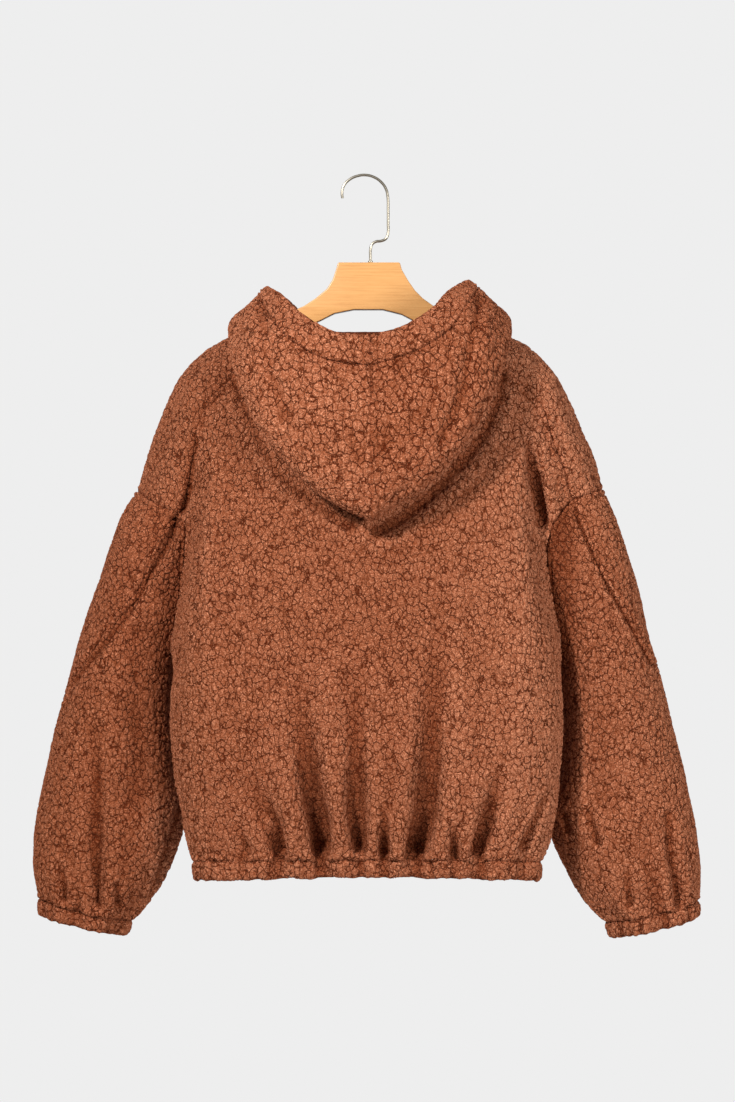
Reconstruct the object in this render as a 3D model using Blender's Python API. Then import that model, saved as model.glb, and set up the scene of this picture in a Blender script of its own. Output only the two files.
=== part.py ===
"""Hooded sherpa jacket on a wooden hanger, seen from the back.

Metres, +Z up. The origin is the top of the hook's crook, where a rail carries it.
The jacket's back faces -Y and its zipped front faces +Y.
"""

import math

import bmesh
import bpy
import numpy as np

# ---------------------------------------------------------------- driving sizes
CLOTH = 0.0030          # sherpa wall: the backing and the pile's dense lower part
CASING = 0.0042         # doubled cloth with its elastic, at the hood's rim, cuffs and hem
SEAM = 0.0002           # each piece stops this far short of its seam line
MID_X = 0.0045          # the jacket's middle, a little to the right of the crook
NECK_SHARE = 0.22       # share of the back's width that each shoulder seam spans
BACK_ROUND = 2.6        # how square the back's cross-section is: 2 is an ellipse
FRONT_ROUND = 2.1
HEM_HEIGHT = 0.0235
CUFF_LENGTH = 0.021
HOOD_CASING_SHARE = 0.038

FRONT_EDGE = 0.0036     # half the slot between the fronts, where the zip's chain shows
CHAIN = (-0.0028, 0.0028, -0.0004, -0.0026)     # left, right, outer and inner face
TAPE = (0.0004, 0.0085, -0.0047, -0.0055)
SLIDER = (-0.0033, 0.0033, 0.0016, -0.0001)
SLIDER_Z = (-0.2300, -0.2205)

HANGER_THICK = 0.012
HANGER_EDGE = 0.0015    # rounding of the hanger's edges
HOOK_WIRE = 0.0032
COLLAR = (0.00175, 0.0027, -0.0992, -0.0970)    # inner and outer radius, bottom and top

SHERPA = (0.33, 0.105, 0.055, 1.0)
WOOD = (0.85, 0.50, 0.20, 1.0)
STEEL = (0.66, 0.65, 0.63, 1.0)
ZIP_TAPE = (0.16, 0.05, 0.028, 1.0)

# Side seam (rows 0 to 8) and back armhole (rows 8 to 12), from the hem up.
# left x, y, z; right x, y, z; y of the back's middle at that row
BACK_EDGE = (
    (-0.1986, -0.010, -0.7870, 0.2031, -0.010, -0.7870, -0.066),
    (-0.2031, -0.012, -0.7674, 0.2093, -0.012, -0.7674, -0.074),
    (-0.2081, -0.014, -0.7409, 0.2154, -0.014, -0.7409, -0.081),
    (-0.2120, -0.015, -0.7156, 0.2199, -0.015, -0.7156, -0.086),
    (-0.2175, -0.015, -0.6870, 0.2217, -0.015, -0.6870, -0.089),
    (-0.2205, -0.015, -0.6412, 0.2245, -0.015, -0.6412, -0.091),
    (-0.2215, -0.013, -0.6013, 0.2245, -0.013, -0.6013, -0.090),
    (-0.2200, -0.006, -0.5673, 0.2228, -0.006, -0.5673, -0.088),
    (-0.2223, 0.006, -0.5333, 0.2239, 0.006, -0.5333, -0.084),
    (-0.2125, -0.004, -0.4760, 0.2130, -0.004, -0.4740, -0.077),
    (-0.2065, -0.012, -0.4305, 0.2080, -0.011, -0.4300, -0.068),
    (-0.2060, -0.017, -0.4045, 0.2150, -0.012, -0.3980, -0.057),
    (-0.2155, -0.016, -0.3890, 0.2370, -0.004, -0.3712, -0.043),
)

BACK_MIDDLE = (BACK_EDGE[0][6], BACK_EDGE[-1][6])

# Shoulder seam, set to the back, and the ridge above it, from the arm to the neck.
# seam: left x, y, z, right x, y, z; ridge: left x, z, right x, z, y of both
SHOULDER = (
    (-0.2155, -0.016, -0.3890, 0.2370, -0.004, -0.3712, -0.2640, -0.3610, 0.2743, -0.3587, 0.030),
    (-0.2055, -0.026, -0.3565, 0.2262, -0.016, -0.3324, -0.2528, -0.3240, 0.2653, -0.3228, 0.026),
    (-0.1955, -0.034, -0.3045, 0.2142, -0.024, -0.3041, -0.2388, -0.2837, 0.2493, -0.2886, 0.020),
    (-0.1868, -0.036, -0.2784, 0.2057, -0.030, -0.2760, -0.2279, -0.2563, 0.2364, -0.2586, 0.013),
    (-0.1787, -0.036, -0.2591, 0.1953, -0.034, -0.2580, -0.2106, -0.2267, 0.2175, -0.2255, 0.007),
    (-0.1526, -0.036, -0.2341, 0.1698, -0.036, -0.2346, -0.1845, -0.2005, 0.1907, -0.1976, 0.002),
    (-0.1344, -0.036, -0.2193, 0.1440, -0.036, -0.2182, -0.1572, -0.1846, 0.1684, -0.1857, 0.000),
    (-0.1173, -0.036, -0.2046, 0.1201, -0.036, -0.2046, -0.1188, -0.1662, 0.1216, -0.1662, 0.000),
)

# Front panel above the underarm (station 8), over the ridge (15) to the seam (17).
# outer edge: distance from MID_X, y, z; inner edge: distance from MID_X, y, z
FRONT_UPPER = (
    (0.2235, 0.040, -0.5000, FRONT_EDGE, 0.068, -0.4200),
    (0.2265, 0.055, -0.4600, FRONT_EDGE, 0.064, -0.3400),
    (0.2345, 0.058, -0.4250, FRONT_EDGE, 0.058, -0.2620),
    (0.2445, 0.056, -0.4020, 0.0520, 0.053, -0.2480),
    (0.2545, 0.050, -0.3830, 0.0920, 0.039, -0.2150),
    (0.2640, 0.041, -0.3690, 0.1140, 0.019, -0.1840),
)
FRONT_MIDDLE = (        # y and z of the centre front edge at stations 0 to 8
    (0.056, -0.7800), (0.061, -0.7560), (0.066, -0.7280), (0.070, -0.7000), (0.073, -0.6700),
    (0.075, -0.6250), (0.075, -0.5850), (0.073, -0.5450), (0.071, -0.5000),
)

# Sleeve sections from the armhole to the cuff seam.
# outer x, z; inner x, z; y; half depth; angle of the overarm seam, 0 inner and 180 outer
SLEEVE_LEFT = (
    (-0.2640, -0.3610, -0.2265, -0.5340, 0.022, 0.036, 127),
    (-0.2845, -0.3934, -0.2262, -0.5669, 0.030, 0.048, 98),
    (-0.3074, -0.4610, -0.2262, -0.6116, 0.035, 0.055, 117),
    (-0.3312, -0.5277, -0.2240, -0.6539, 0.038, 0.059, 134),
    (-0.3501, -0.6014, -0.2195, -0.6962, 0.040, 0.060, 168),
    (-0.3688, -0.6716, -0.2095, -0.7312, 0.041, 0.058, 186),
    (-0.3832, -0.7428, -0.2167, -0.7662, 0.041, 0.055, 196),
    (-0.3867, -0.7942, -0.2388, -0.8175, 0.041, 0.050, 202),
    (-0.3830, -0.8221, -0.2574, -0.8443, 0.041, 0.045, 205),
    (-0.3801, -0.8349, -0.2715, -0.8618, 0.041, 0.040, 207),
)
SLEEVE_RIGHT = (
    (0.2743, -0.3587, 0.2290, -0.5340, 0.022, 0.036, 127),
    (0.2908, -0.3934, 0.2292, -0.5669, 0.030, 0.048, 114),
    (0.3136, -0.4610, 0.2300, -0.6116, 0.035, 0.055, 127),
    (0.3286, -0.5277, 0.2290, -0.6539, 0.038, 0.059, 150),
    (0.3481, -0.5991, 0.2240, -0.6962, 0.040, 0.060, 180),
    (0.3680, -0.6716, 0.2130, -0.7312, 0.041, 0.058, 190),
    (0.3819, -0.7393, 0.2194, -0.7662, 0.041, 0.055, 198),
    (0.3906, -0.7942, 0.2427, -0.8175, 0.041, 0.050, 203),
    (0.3908, -0.8244, 0.2602, -0.8443, 0.041, 0.045, 206),
    (0.3887, -0.8373, 0.2789, -0.8642, 0.041, 0.040, 207),
)

# Hood arcs from the centre seam (0) to the centre front (1).
# share; rise and reach of the roll above the neck seam; fold x, z, y; rim x, z, y;
# y of the layer against the back, y of the outer layer
HOOD_LEFT = (
    (0.00, 0.028, 0.022, 0.0060, -0.3975, -0.102, 0.0060, -0.1890, -0.108, -0.080, -0.130),
    (0.13, 0.028, 0.022, -0.0549, -0.3653, -0.100, -0.0335, -0.1848, -0.107, -0.079, -0.128),
    (0.27, 0.028, 0.020, -0.1084, -0.3054, -0.090, -0.0680, -0.1654, -0.092, -0.074, -0.114),
    (0.40, 0.019, 0.017, -0.1414, -0.2425, -0.074, -0.0893, -0.1446, -0.064, -0.064, -0.090),
    (0.51, 0.008, 0.014, -0.1546, -0.1913, -0.040, -0.1065, -0.1315, -0.030, -0.042, -0.046),
    (0.63, 0.005, 0.004, -0.1500, -0.1715, -0.008, -0.1085, -0.1270, -0.006, -0.009, -0.008),
    (0.76, 0.005, 0.003, -0.1270, -0.1730, 0.032, -0.0890, -0.1390, 0.024, 0.027, 0.030),
    (0.88, 0.006, 0.003, -0.0760, -0.2140, 0.060, -0.0500, -0.1740, 0.052, 0.055, 0.060),
    (1.00, 0.006, 0.002, MID_X - FRONT_EDGE, -0.2380, 0.062, MID_X - FRONT_EDGE, -0.2150, 0.061, 0.061, 0.062),
)
HOOD_RIGHT = (
    (0.00, 0.028, 0.022, 0.0060, -0.3975, -0.102, 0.0060, -0.1890, -0.108, -0.080, -0.130),
    (0.13, 0.028, 0.022, 0.0718, -0.3547, -0.100, 0.0427, -0.1774, -0.107, -0.079, -0.128),
    (0.27, 0.028, 0.020, 0.1243, -0.2905, -0.090, 0.0733, -0.1576, -0.092, -0.074, -0.114),
    (0.40, 0.019, 0.017, 0.1532, -0.2279, -0.074, 0.0921, -0.1367, -0.064, -0.064, -0.090),
    (0.51, 0.008, 0.014, 0.1654, -0.1856, -0.040, 0.1135, -0.1227, -0.030, -0.042, -0.046),
    (0.63, 0.005, 0.004, 0.1600, -0.1680, -0.008, 0.1155, -0.1215, -0.006, -0.009, -0.008),
    (0.76, 0.005, 0.003, 0.1360, -0.1730, 0.032, 0.0980, -0.1390, 0.024, 0.027, 0.030),
    (0.88, 0.006, 0.003, 0.0850, -0.2140, 0.060, 0.0590, -0.1740, 0.052, 0.055, 0.060),
    (1.00, 0.006, 0.002, MID_X + FRONT_EDGE, -0.2380, 0.062, MID_X + FRONT_EDGE, -0.2150, 0.061, 0.061, 0.062),
)

# Gathers and long folds of the body, each a soft valley that runs down to the hem.
# x and z at its top, x and z at its bottom, half width, depth at the bottom
BACK_FOLDS = (
    (0.1835, -0.290, 0.2010, -0.385, 0.010, 0.0160),
    (-0.152, -0.755, -0.136, -0.777, 0.011, 0.0050),
    (-0.142, -0.680, -0.099, -0.778, 0.014, 0.0095),
    (-0.078, -0.530, -0.050, -0.777, 0.015, 0.0135),
    (-0.012, -0.530, -0.005, -0.774, 0.013, 0.0085),
    (0.021, -0.730, 0.021, -0.779, 0.009, 0.0060),
    (0.086, -0.490, 0.057, -0.778, 0.016, 0.0125),
    (0.103, -0.750, 0.103, -0.786, 0.009, 0.0055),
    (0.155, -0.670, 0.129, -0.777, 0.014, 0.0095),
    (0.196, -0.725, 0.181, -0.777, 0.010, 0.0060),
)
FRONT_FOLDS = (
    (-0.160, -0.660, -0.146, -0.780, 0.016, 0.0080),
    (-0.105, -0.560, -0.094, -0.780, 0.017, 0.0100),
    (-0.050, -0.640, -0.047, -0.780, 0.014, 0.0070),
    (0.062, -0.650, 0.056, -0.780, 0.014, 0.0070),
    (0.118, -0.540, 0.108, -0.780, 0.017, 0.0100),
    (0.172, -0.680, 0.158, -0.780, 0.016, 0.0080),
)
# Sleeve valleys: angle round the sleeve, first and last section, half width, depth
SLEEVE_FOLDS = (
    (40, 5.5, 9.0, 14, 0.0060),
    (74, 2.5, 6.0, 20, 0.0070),
    (98, 5.0, 9.0, 13, 0.0085),
    (140, 7.0, 9.0, 13, 0.0045),
    (222, 5.5, 9.0, 14, 0.0070),
    (262, 3.0, 9.0, 18, 0.0080),
    (310, 5.5, 9.0, 14, 0.0070),
)

# Hanger's outline, clockwise from the left of its flat top: x, z
HANGER = (
    (-0.0314, -0.0998), (-0.0300, -0.0993), (0.0385, -0.0993), (0.0399, -0.0998), (0.0419, -0.1075),
    (0.0496, -0.1207), (0.0573, -0.1317), (0.0661, -0.1405), (0.0782, -0.1492), (0.1000, -0.1627),
    (0.1216, -0.1732), (0.1450, -0.1837), (0.1684, -0.1972), (0.1830, -0.2072), (0.1930, -0.2152),
    (0.1975, -0.2207), (0.1985, -0.2275), (0.1955, -0.2315), (0.1895, -0.2315), (0.1684, -0.2205),
    (0.1450, -0.2060), (0.1216, -0.1938), (0.1000, -0.1850), (0.0750, -0.1742), (0.0529, -0.1651),
    (0.0419, -0.1593), (0.0199, -0.1538), (-0.0131, -0.1538), (-0.0351, -0.1581), (-0.0527, -0.1669),
    (-0.0750, -0.1758), (-0.0980, -0.1855), (-0.1188, -0.1940), (-0.1400, -0.2048), (-0.1572, -0.2145),
    (-0.1740, -0.2255), (-0.1810, -0.2300), (-0.1865, -0.2305), (-0.1895, -0.2270), (-0.1888, -0.2215),
    (-0.1840, -0.2142), (-0.1740, -0.2052), (-0.1572, -0.1942), (-0.1400, -0.1837), (-0.1188, -0.1729),
    (-0.0980, -0.1627), (-0.0800, -0.1535), (-0.0703, -0.1493), (-0.0570, -0.1405), (-0.0439, -0.1295),
    (-0.0373, -0.1186), (-0.0336, -0.1075),
)
# Middle of the hook's wire from its tip to the wood: x, z
HOOK = (
    (-0.0262, -0.0250), (-0.0268, -0.0190), (-0.0247, -0.0106), (-0.0180, -0.0035), (-0.0090, 0.0006),
    (0.0006, 0.0016), (0.0100, -0.0008), (0.0185, -0.0067), (0.0240, -0.0150), (0.0259, -0.0240),
    (0.0263, -0.0390), (0.0263, -0.0537), (0.0260, -0.0660), (0.0236, -0.0716), (0.0185, -0.0741),
    (0.0118, -0.0751), (0.0075, -0.0785), (0.0060, -0.0840), (0.0059, -0.0920), (0.0059, -0.0991),
)

# Where the front half of the armhole lies on the sleeve's first section:
# share from the overarm seam to the underarm, and the part of the turn still to come
ARMHOLE_SHARES = (0, 0.111, 0.222, 0.333, 0.444, 0.556, 0.667, 0.778, 0.889, 1)
ARMHOLE_TURNS = (1, 0.90, 0.773, 0.665, 0.592, 0.524, 0.451, 0.352, 0.227, 0)

# Grid lines of the panels, as row or station numbers of the tables above
BACK_ROWS = (0, 0.5, 1, 2, 3, 4.5, 6, 7, 8, 8.5, 9, 9.5, 10, 10.5, 11, 11.5, 12)
FRONT_ROWS = (0, 0.5, 1, 2, 3, 4.5, 6, 7, 8, 8.8, 9.5, 10.2, 11, 12, 13, 14, 14.6, 15, 15.6, 16.3, 17)
SHOULDER_COLUMNS = (0, 0.03, 0.09, 0.17, 0.27, 0.38, 0.5, 0.62, 0.75, 0.88, 1)
NECK_STEPS = 16
SLEEVE_RINGS = (0, 0.35, 0.8, 1.4, 2.3, 3, 4, 5, 6, 6.7, 7.4, 8, 8.5, 9)
HOOD_STEPS = (0, 0.1, 0.2, 0.3, 0.42, 0.52, 0.6, 0.68, 0.76, 0.84, 1 - HOOD_CASING_SHARE * 2)

LEFT, RIGHT = -1, 1
UNDERARM = (0.223, 0.008, -0.533)       # the wall is thinnest here, on both sides
NECK_POINT = (0.1187, -0.036, -0.2046)


# ---------------------------------------------------------------- curves
def along(rows, place):
    """A table's values at a row number, on a smooth curve through its rows."""
    table = np.asarray(rows, float)
    place = np.clip(np.asarray(place, float), 0, len(table) - 1)
    index = np.minimum(place.astype(int), len(table) - 2)
    part = (place - index)[..., None]
    before = table[np.maximum(index - 1, 0)]
    here = table[index]
    after = table[index + 1]
    later = table[np.minimum(index + 2, len(table) - 1)]
    cubic = 3 * (here - after) + later - before
    square = 2 * before - 5 * here + 4 * after - later
    return here + 0.5 * part * (after - before + part * (square + part * cubic))


def rounding(share, power):
    """Height of a rounded cross-section: 0 at its edges (-1 and 1), 1 in the middle."""
    return np.maximum(1 - np.abs(share) ** power, 0) ** (1 / power)


def soft_step(value):
    value = np.clip(value, 0, 1)
    return value * value * (3 - 2 * value)


def valleys(folds, x, z):
    """Depth of the body's folds at a place on it."""
    depth = np.zeros_like(x)
    for top_x, top_z, low_x, low_z, width, deep in folds:
        down = (top_z - z) / (top_z - low_z)
        middle = top_x + (low_x - top_x) * np.clip(down, 0, 1.3)
        across = (x - middle) / width
        fade = soft_step(down) * (1 - soft_step((down - 1) / 0.3))
        depth += deep * fade * np.exp(-across * across)
    return depth


# ---------------------------------------------------------------- body panels
def back_edge(side, row):
    values = along(BACK_EDGE, row)
    return values[..., 0:3] if side == LEFT else values[..., 3:6]


def shoulder_seam(side, share):
    values = along(SHOULDER, 7 * np.asarray(share, float))
    return values[..., 0:3] if side == LEFT else values[..., 3:6]


def shoulder_ridge(side, share):
    values = along(SHOULDER, 7 * np.asarray(share, float))
    first = 6 if side == LEFT else 8
    return np.stack([values[..., first], values[..., 10], values[..., first + 1]], -1)


def back_top(across):
    """Top edge of the back: left shoulder seam, neck, right shoulder seam."""
    left = shoulder_seam(LEFT, np.clip(across / NECK_SHARE, 0, 1))
    right = shoulder_seam(RIGHT, np.clip((1 - across) / NECK_SHARE, 0, 1))
    neck = np.clip((across - NECK_SHARE) / (1 - 2 * NECK_SHARE), 0, 1)
    point = left + (right - shoulder_seam(RIGHT, 1.0)) + neck[..., None] * (
        shoulder_seam(RIGHT, 1.0) - shoulder_seam(LEFT, 1.0))
    sag = 4 * neck * (1 - neck)
    point[..., 1] -= 0.008 * sag
    point[..., 2] -= 0.012 * sag
    return point


def back_surface(across, row):
    """Point of the back's outer face; across 0 to 1 from left to right, row as in the table."""
    across, row = np.broadcast_arrays(np.asarray(across, float), np.asarray(row, float))
    up = row / (len(BACK_EDGE) - 1)
    left = back_edge(LEFT, row)
    right = back_edge(RIGHT, row)
    low_left = back_edge(LEFT, 0.0)
    low_right = back_edge(RIGHT, 0.0)
    high_left = back_edge(LEFT, 12.0)
    high_right = back_edge(RIGHT, 12.0)
    u = across[..., None]
    v = up[..., None]
    swell = rounding(2 * across - 1, BACK_ROUND)
    valley = soft_step((row - 7.0) / 2.0)
    swell = swell * (1 - valley) + (1 - np.abs(2 * across - 1) ** 4.5) * valley
    hem = low_left + (low_right - low_left) * u
    hem[..., 1] += (BACK_MIDDLE[0] - hem[..., 1]) * swell
    hem[..., 2] += 0.009 * rounding(2 * across - 1, 2)
    bilinear = ((1 - v) * ((1 - u) * low_left + u * low_right)
                + v * ((1 - u) * high_left + u * high_right))
    sides = (1 - u) * left + u * right
    point = (1 - v) * hem + v * back_top(across) + sides - bilinear
    centre = (1 - up) * BACK_MIDDLE[0] + up * BACK_MIDDLE[1] + sides[..., 1] - bilinear[..., 1]
    point[..., 1] += (along(BACK_EDGE, row)[..., 6] - centre) * swell * (1 - up ** 8)
    point[..., 1] += valleys(BACK_FOLDS, point[..., 0], point[..., 2]) * np.minimum(1, 3 * swell)
    return point


def front_stations(side):
    """Outer and inner edge points of a front at its stations, hem to shoulder seam."""
    outer = [back_edge(side, float(row)) for row in range(9)]
    inner = [np.array((MID_X + side * FRONT_EDGE, y, z)) for y, z in FRONT_MIDDLE]
    for out_x, out_y, out_z, in_x, in_y, in_z in FRONT_UPPER:
        outer.append(np.array((MID_X + side * out_x, out_y, out_z)))
        inner.append(np.array((MID_X + side * in_x, in_y, in_z)))
    tip, neck = shoulder_ridge(side, 0.0), shoulder_ridge(side, 1.0)
    corner, point = shoulder_seam(side, 0.0), shoulder_seam(side, 1.0)
    outer += [tip, tip * 0.45 + corner * 0.55 + (side * 0.004, -0.010, 0.001), corner]
    inner += [neck, neck * 0.5 + point * 0.5 + (0, -0.008, 0.006), point]
    return np.array(outer), np.array(inner)


def front_surface(side, across, station):
    """Point of a front's outer face; across 0 at the side to 1 at the centre front."""
    across, station = np.broadcast_arrays(np.asarray(across, float), np.asarray(station, float))
    outer_rows, inner_rows = front_stations(side)
    outer = along(outer_rows, station)
    inner = along(inner_rows, station)
    c = across[..., None]
    point = outer + (inner - outer) * c
    body = 1 - soft_step((station - 8) / 6)
    quarter = rounding(1 - across, FRONT_ROUND)
    point[..., 1] += (inner[..., 1] - outer[..., 1]) * (quarter - across) * body
    swell = 0.012 * np.sin(math.pi * across) * soft_step((station - 8) / 3)
    point[..., 1] += swell * (1 - soft_step((station - 12) / 3))
    ridge = shoulder_ridge(side, across)
    ridge_line = shoulder_ridge(side, 0.0) * (1 - c) + shoulder_ridge(side, 1.0) * c
    seam = shoulder_seam(side, across)
    seam_line = shoulder_seam(side, 0.0) * (1 - c) + shoulder_seam(side, 1.0) * c
    to_ridge = soft_step((station - 9.5) / 5.5) * (1 - soft_step((station - 15) / 2))
    to_seam = soft_step((station - 15) / 2)
    point += (ridge - ridge_line) * to_ridge[..., None] + (seam - seam_line) * to_seam[..., None]
    near_zip = np.minimum(1, 4 * (1 - across)) * np.minimum(1, 5 * across)
    point[..., 1] -= valleys(FRONT_FOLDS, point[..., 0], point[..., 2]) * near_zip
    return point


# ---------------------------------------------------------------- sleeves
def armhole(side, half, share):
    """The armhole's edge: the back's part (half 0) or the front's (half 1), from the table rows."""
    if half == 0:
        return back_edge(side, 8 + 4 * share)
    return front_surface(side, 0.0, 17 - 9 * share)


def sleeve_ring(side, half, share, section):
    """Point on the sleeve's own rounded sections, before they meet the armhole."""
    values = along(SLEEVE_LEFT if side == LEFT else SLEEVE_RIGHT, section)
    outer = np.stack([values[..., 0], values[..., 4], values[..., 1]], -1)
    inner = np.stack([values[..., 2], values[..., 4], values[..., 3]], -1)
    overarm = values[..., 6]
    if half == 0:
        at_armhole = overarm * np.sqrt(share)
        on_sleeve = overarm * share
    else:
        at_armhole = 360 - (360 - overarm) * np.interp(share, ARMHOLE_SHARES, ARMHOLE_TURNS)
        on_sleeve = overarm + (360 - overarm) * np.interp(share, (0, 0.222, 0.667, 1), (0, 0.27, 0.7, 1))
    angle = at_armhole + (on_sleeve - at_armhole) * soft_step(section / 3.5)
    turn = np.radians(angle)
    tuck = 0.9 + 0.45 * (1 - soft_step((angle - 60) / 40))
    flat = np.sign(np.sin(turn)) * np.abs(np.sin(turn)) ** tuck
    for middle, first, last, width, depth in SLEEVE_FOLDS:
        across = (angle - middle) / width
        if last > 7:
            fade = soft_step((section - first) / (last - first))
        else:
            fade = soft_step(section - first) * soft_step(last - section)
        flat = flat * (1 - np.exp(-across * across) * fade * depth / values[..., 5])
    point = (outer + inner) / 2 + (inner - outer) / 2 * np.cos(turn)[..., None]
    point[..., 1] -= values[..., 5] * flat
    return point


def sleeve_surface(side, half, share, section):
    """Point of a sleeve. Half 0 runs from the underarm to the overarm seam, half 1 back to it."""
    share, section = np.broadcast_arrays(np.asarray(share, float), np.asarray(section, float))
    point = sleeve_ring(side, half, share, section)
    pull = armhole(side, half, share) - sleeve_ring(side, half, share, np.zeros_like(section))
    return point + pull * (np.clip(1 - section / 1.4, 0, 1) ** 2)[..., None]


# ---------------------------------------------------------------- hood
def neck_edge(side, share):
    """The neck seam from the middle of the back (0) to the centre front (1)."""
    share = np.asarray(share, float)
    across = 0.5 + side * (0.5 - NECK_SHARE) * np.clip(share / 0.5, 0, 1)
    at_back = back_surface(across, 12.0)
    at_front = front_surface(side, 1.0, 17 - 6 * np.clip((share - 0.5) / 0.5, 0, 1))
    return np.where((share <= 0.5)[..., None], at_back, at_front)


def hood_surface(side, share, arc):
    """Point of a hood half; share 0 at the centre seam to 1 in front, arc 0 neck to 1 rim."""
    share, arc = np.broadcast_arrays(np.asarray(share, float), np.asarray(arc, float))
    casing = HOOD_CASING_SHARE * (0.88 + 0.30 * soft_step(share / 0.4))
    seam = 1 - 2 * HOOD_CASING_SHARE
    arc = np.where(arc < seam, arc / seam * (1 - 2 * casing), 1 - (1 - arc) * casing / HOOD_CASING_SHARE)
    table = np.array(HOOD_LEFT if side == LEFT else HOOD_RIGHT)
    row = np.interp(share, table[:, 0], np.arange(len(table)))
    values = along(table, row)
    neck = neck_edge(side, share)
    outward = (neck - (MID_X, 0.004, 0)) * (1, 1, 0)
    outward /= np.linalg.norm(outward, axis=-1, keepdims=True)
    roll = neck + outward * values[..., 2, None]
    roll[..., 2] += values[..., 1]
    fold = np.stack([values[..., 3], values[..., 5], values[..., 4]], -1)
    rim = np.stack([values[..., 6], values[..., 8], values[..., 7]], -1)
    inner = neck * 0.45 + fold * 0.55
    inner[..., 1] = values[..., 9]
    raised = 0.006 * soft_step((share - 0.5) / 0.1) * (1 - soft_step((share - 0.85) / 0.1))
    inner[..., 2] += raised
    lean = 0.12 * soft_step((share - 0.42) / 0.12) * (1 - soft_step((share - 0.7) / 0.25))
    outer = fold * (0.52 - lean)[..., None] + rim * (0.48 + lean)[..., None]
    outer[..., 1] = values[..., 10]
    outer[..., 0] += side * 0.014 * np.sin(math.pi * np.clip(share / 0.6, 0, 1))
    stations = np.stack([neck, roll, inner, fold, outer, rim])
    place = arc * 5
    index = np.minimum(place.astype(int), 4)
    part = (place - index)[..., None]

    def station(number):
        return np.take_along_axis(stations, np.clip(number, 0, 5)[None, ..., None], 0)[0]

    def unit(vector):
        return vector / np.maximum(np.linalg.norm(vector, axis=-1, keepdims=True), 1e-9)

    before, here, after, later = (station(index + step) for step in (-1, 0, 1, 2))
    chord = np.linalg.norm(after - here, axis=-1, keepdims=True)
    leave = unit(unit(here - before) + unit(after - here)) * chord
    arrive = unit(unit(after - here) + unit(later - after)) * chord
    square, cube = part ** 2, part ** 3
    return ((2 * cube - 3 * square + 1) * here + (cube - 2 * square + part) * leave
            + (3 * square - 2 * cube) * after + (cube - square) * arrive)


# ---------------------------------------------------------------- hem, cuffs
def hem_surface(where, side, across, down):
    """Point of the hem casing; down 0 at its seam to 1 at its lower edge."""
    across, down = np.broadcast_arrays(np.asarray(across, float), np.asarray(down, float))
    if where == "back":
        top = back_surface(across, 0.0)
    else:
        top = front_surface(side, across, 0.0)
    point = top.copy()
    point[..., 2] -= HEM_HEIGHT * down
    middle = np.array((MID_X, -0.004, 0))
    inward = (middle - top) * (1, 1, 0)
    inward /= np.linalg.norm(inward, axis=-1, keepdims=True)
    plump = 0.002 * np.sin(math.pi * down)
    keep_front = 1 if where == "back" else 1 - across ** 4
    return point + inward * ((0.0035 * down - plump) * keep_front)[..., None]


def cuff_surface(side, half, share, down):
    """Point of a cuff casing, which carries on from the sleeve's last section."""
    share, down = np.broadcast_arrays(np.asarray(share, float), np.asarray(down, float))
    last = len(SLEEVE_LEFT) - 1
    top = sleeve_surface(side, half, share, float(last))
    row = (SLEEVE_LEFT if side == LEFT else SLEEVE_RIGHT)[last]
    centre = np.array(((row[0] + row[2]) / 2, row[4], (row[1] + row[3]) / 2))
    across = np.array((row[2] - row[0], 0, row[3] - row[1]))
    across = across / np.linalg.norm(across)
    away = np.array((across[2], 0, -across[0])) * (1 if side == RIGHT else -1)
    if away[2] > 0:
        away = -away
    inward = centre - top
    inward /= np.linalg.norm(inward, axis=-1, keepdims=True)
    plump = 0.0022 * np.sin(math.pi * down)
    return top + away * (CUFF_LENGTH * down)[..., None] + inward * (0.003 * down - plump)[..., None]


# ---------------------------------------------------------------- making solids
def grid(surface, first, second):
    """A surface at every pair of the two lists of parameters."""
    one = np.asarray(first, float)[:, None]
    two = np.asarray(second, float)[None, :]
    return surface(*np.broadcast_arrays(one, two))


def corner_key(point):
    return tuple(int(round(value * 2e4 + 0.123)) for value in point)


def shared_normals(panels):
    """Smooth normals over all panels together, so that walls are parallel at a seam."""
    totals = {}
    for points, flip, _ in panels.values():
        for i in range(points.shape[0] - 1):
            for j in range(points.shape[1] - 1):
                a, b = points[i, j], points[i + 1, j]
                c, d = points[i + 1, j + 1], points[i, j + 1]
                normal = np.cross(c - a, d - b) * (-1 if flip else 1)
                normal /= np.linalg.norm(normal)
                for corner in (a, b, c, d):
                    key = corner_key(corner)
                    totals[key] = totals.get(key, 0) + normal
    return totals


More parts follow.
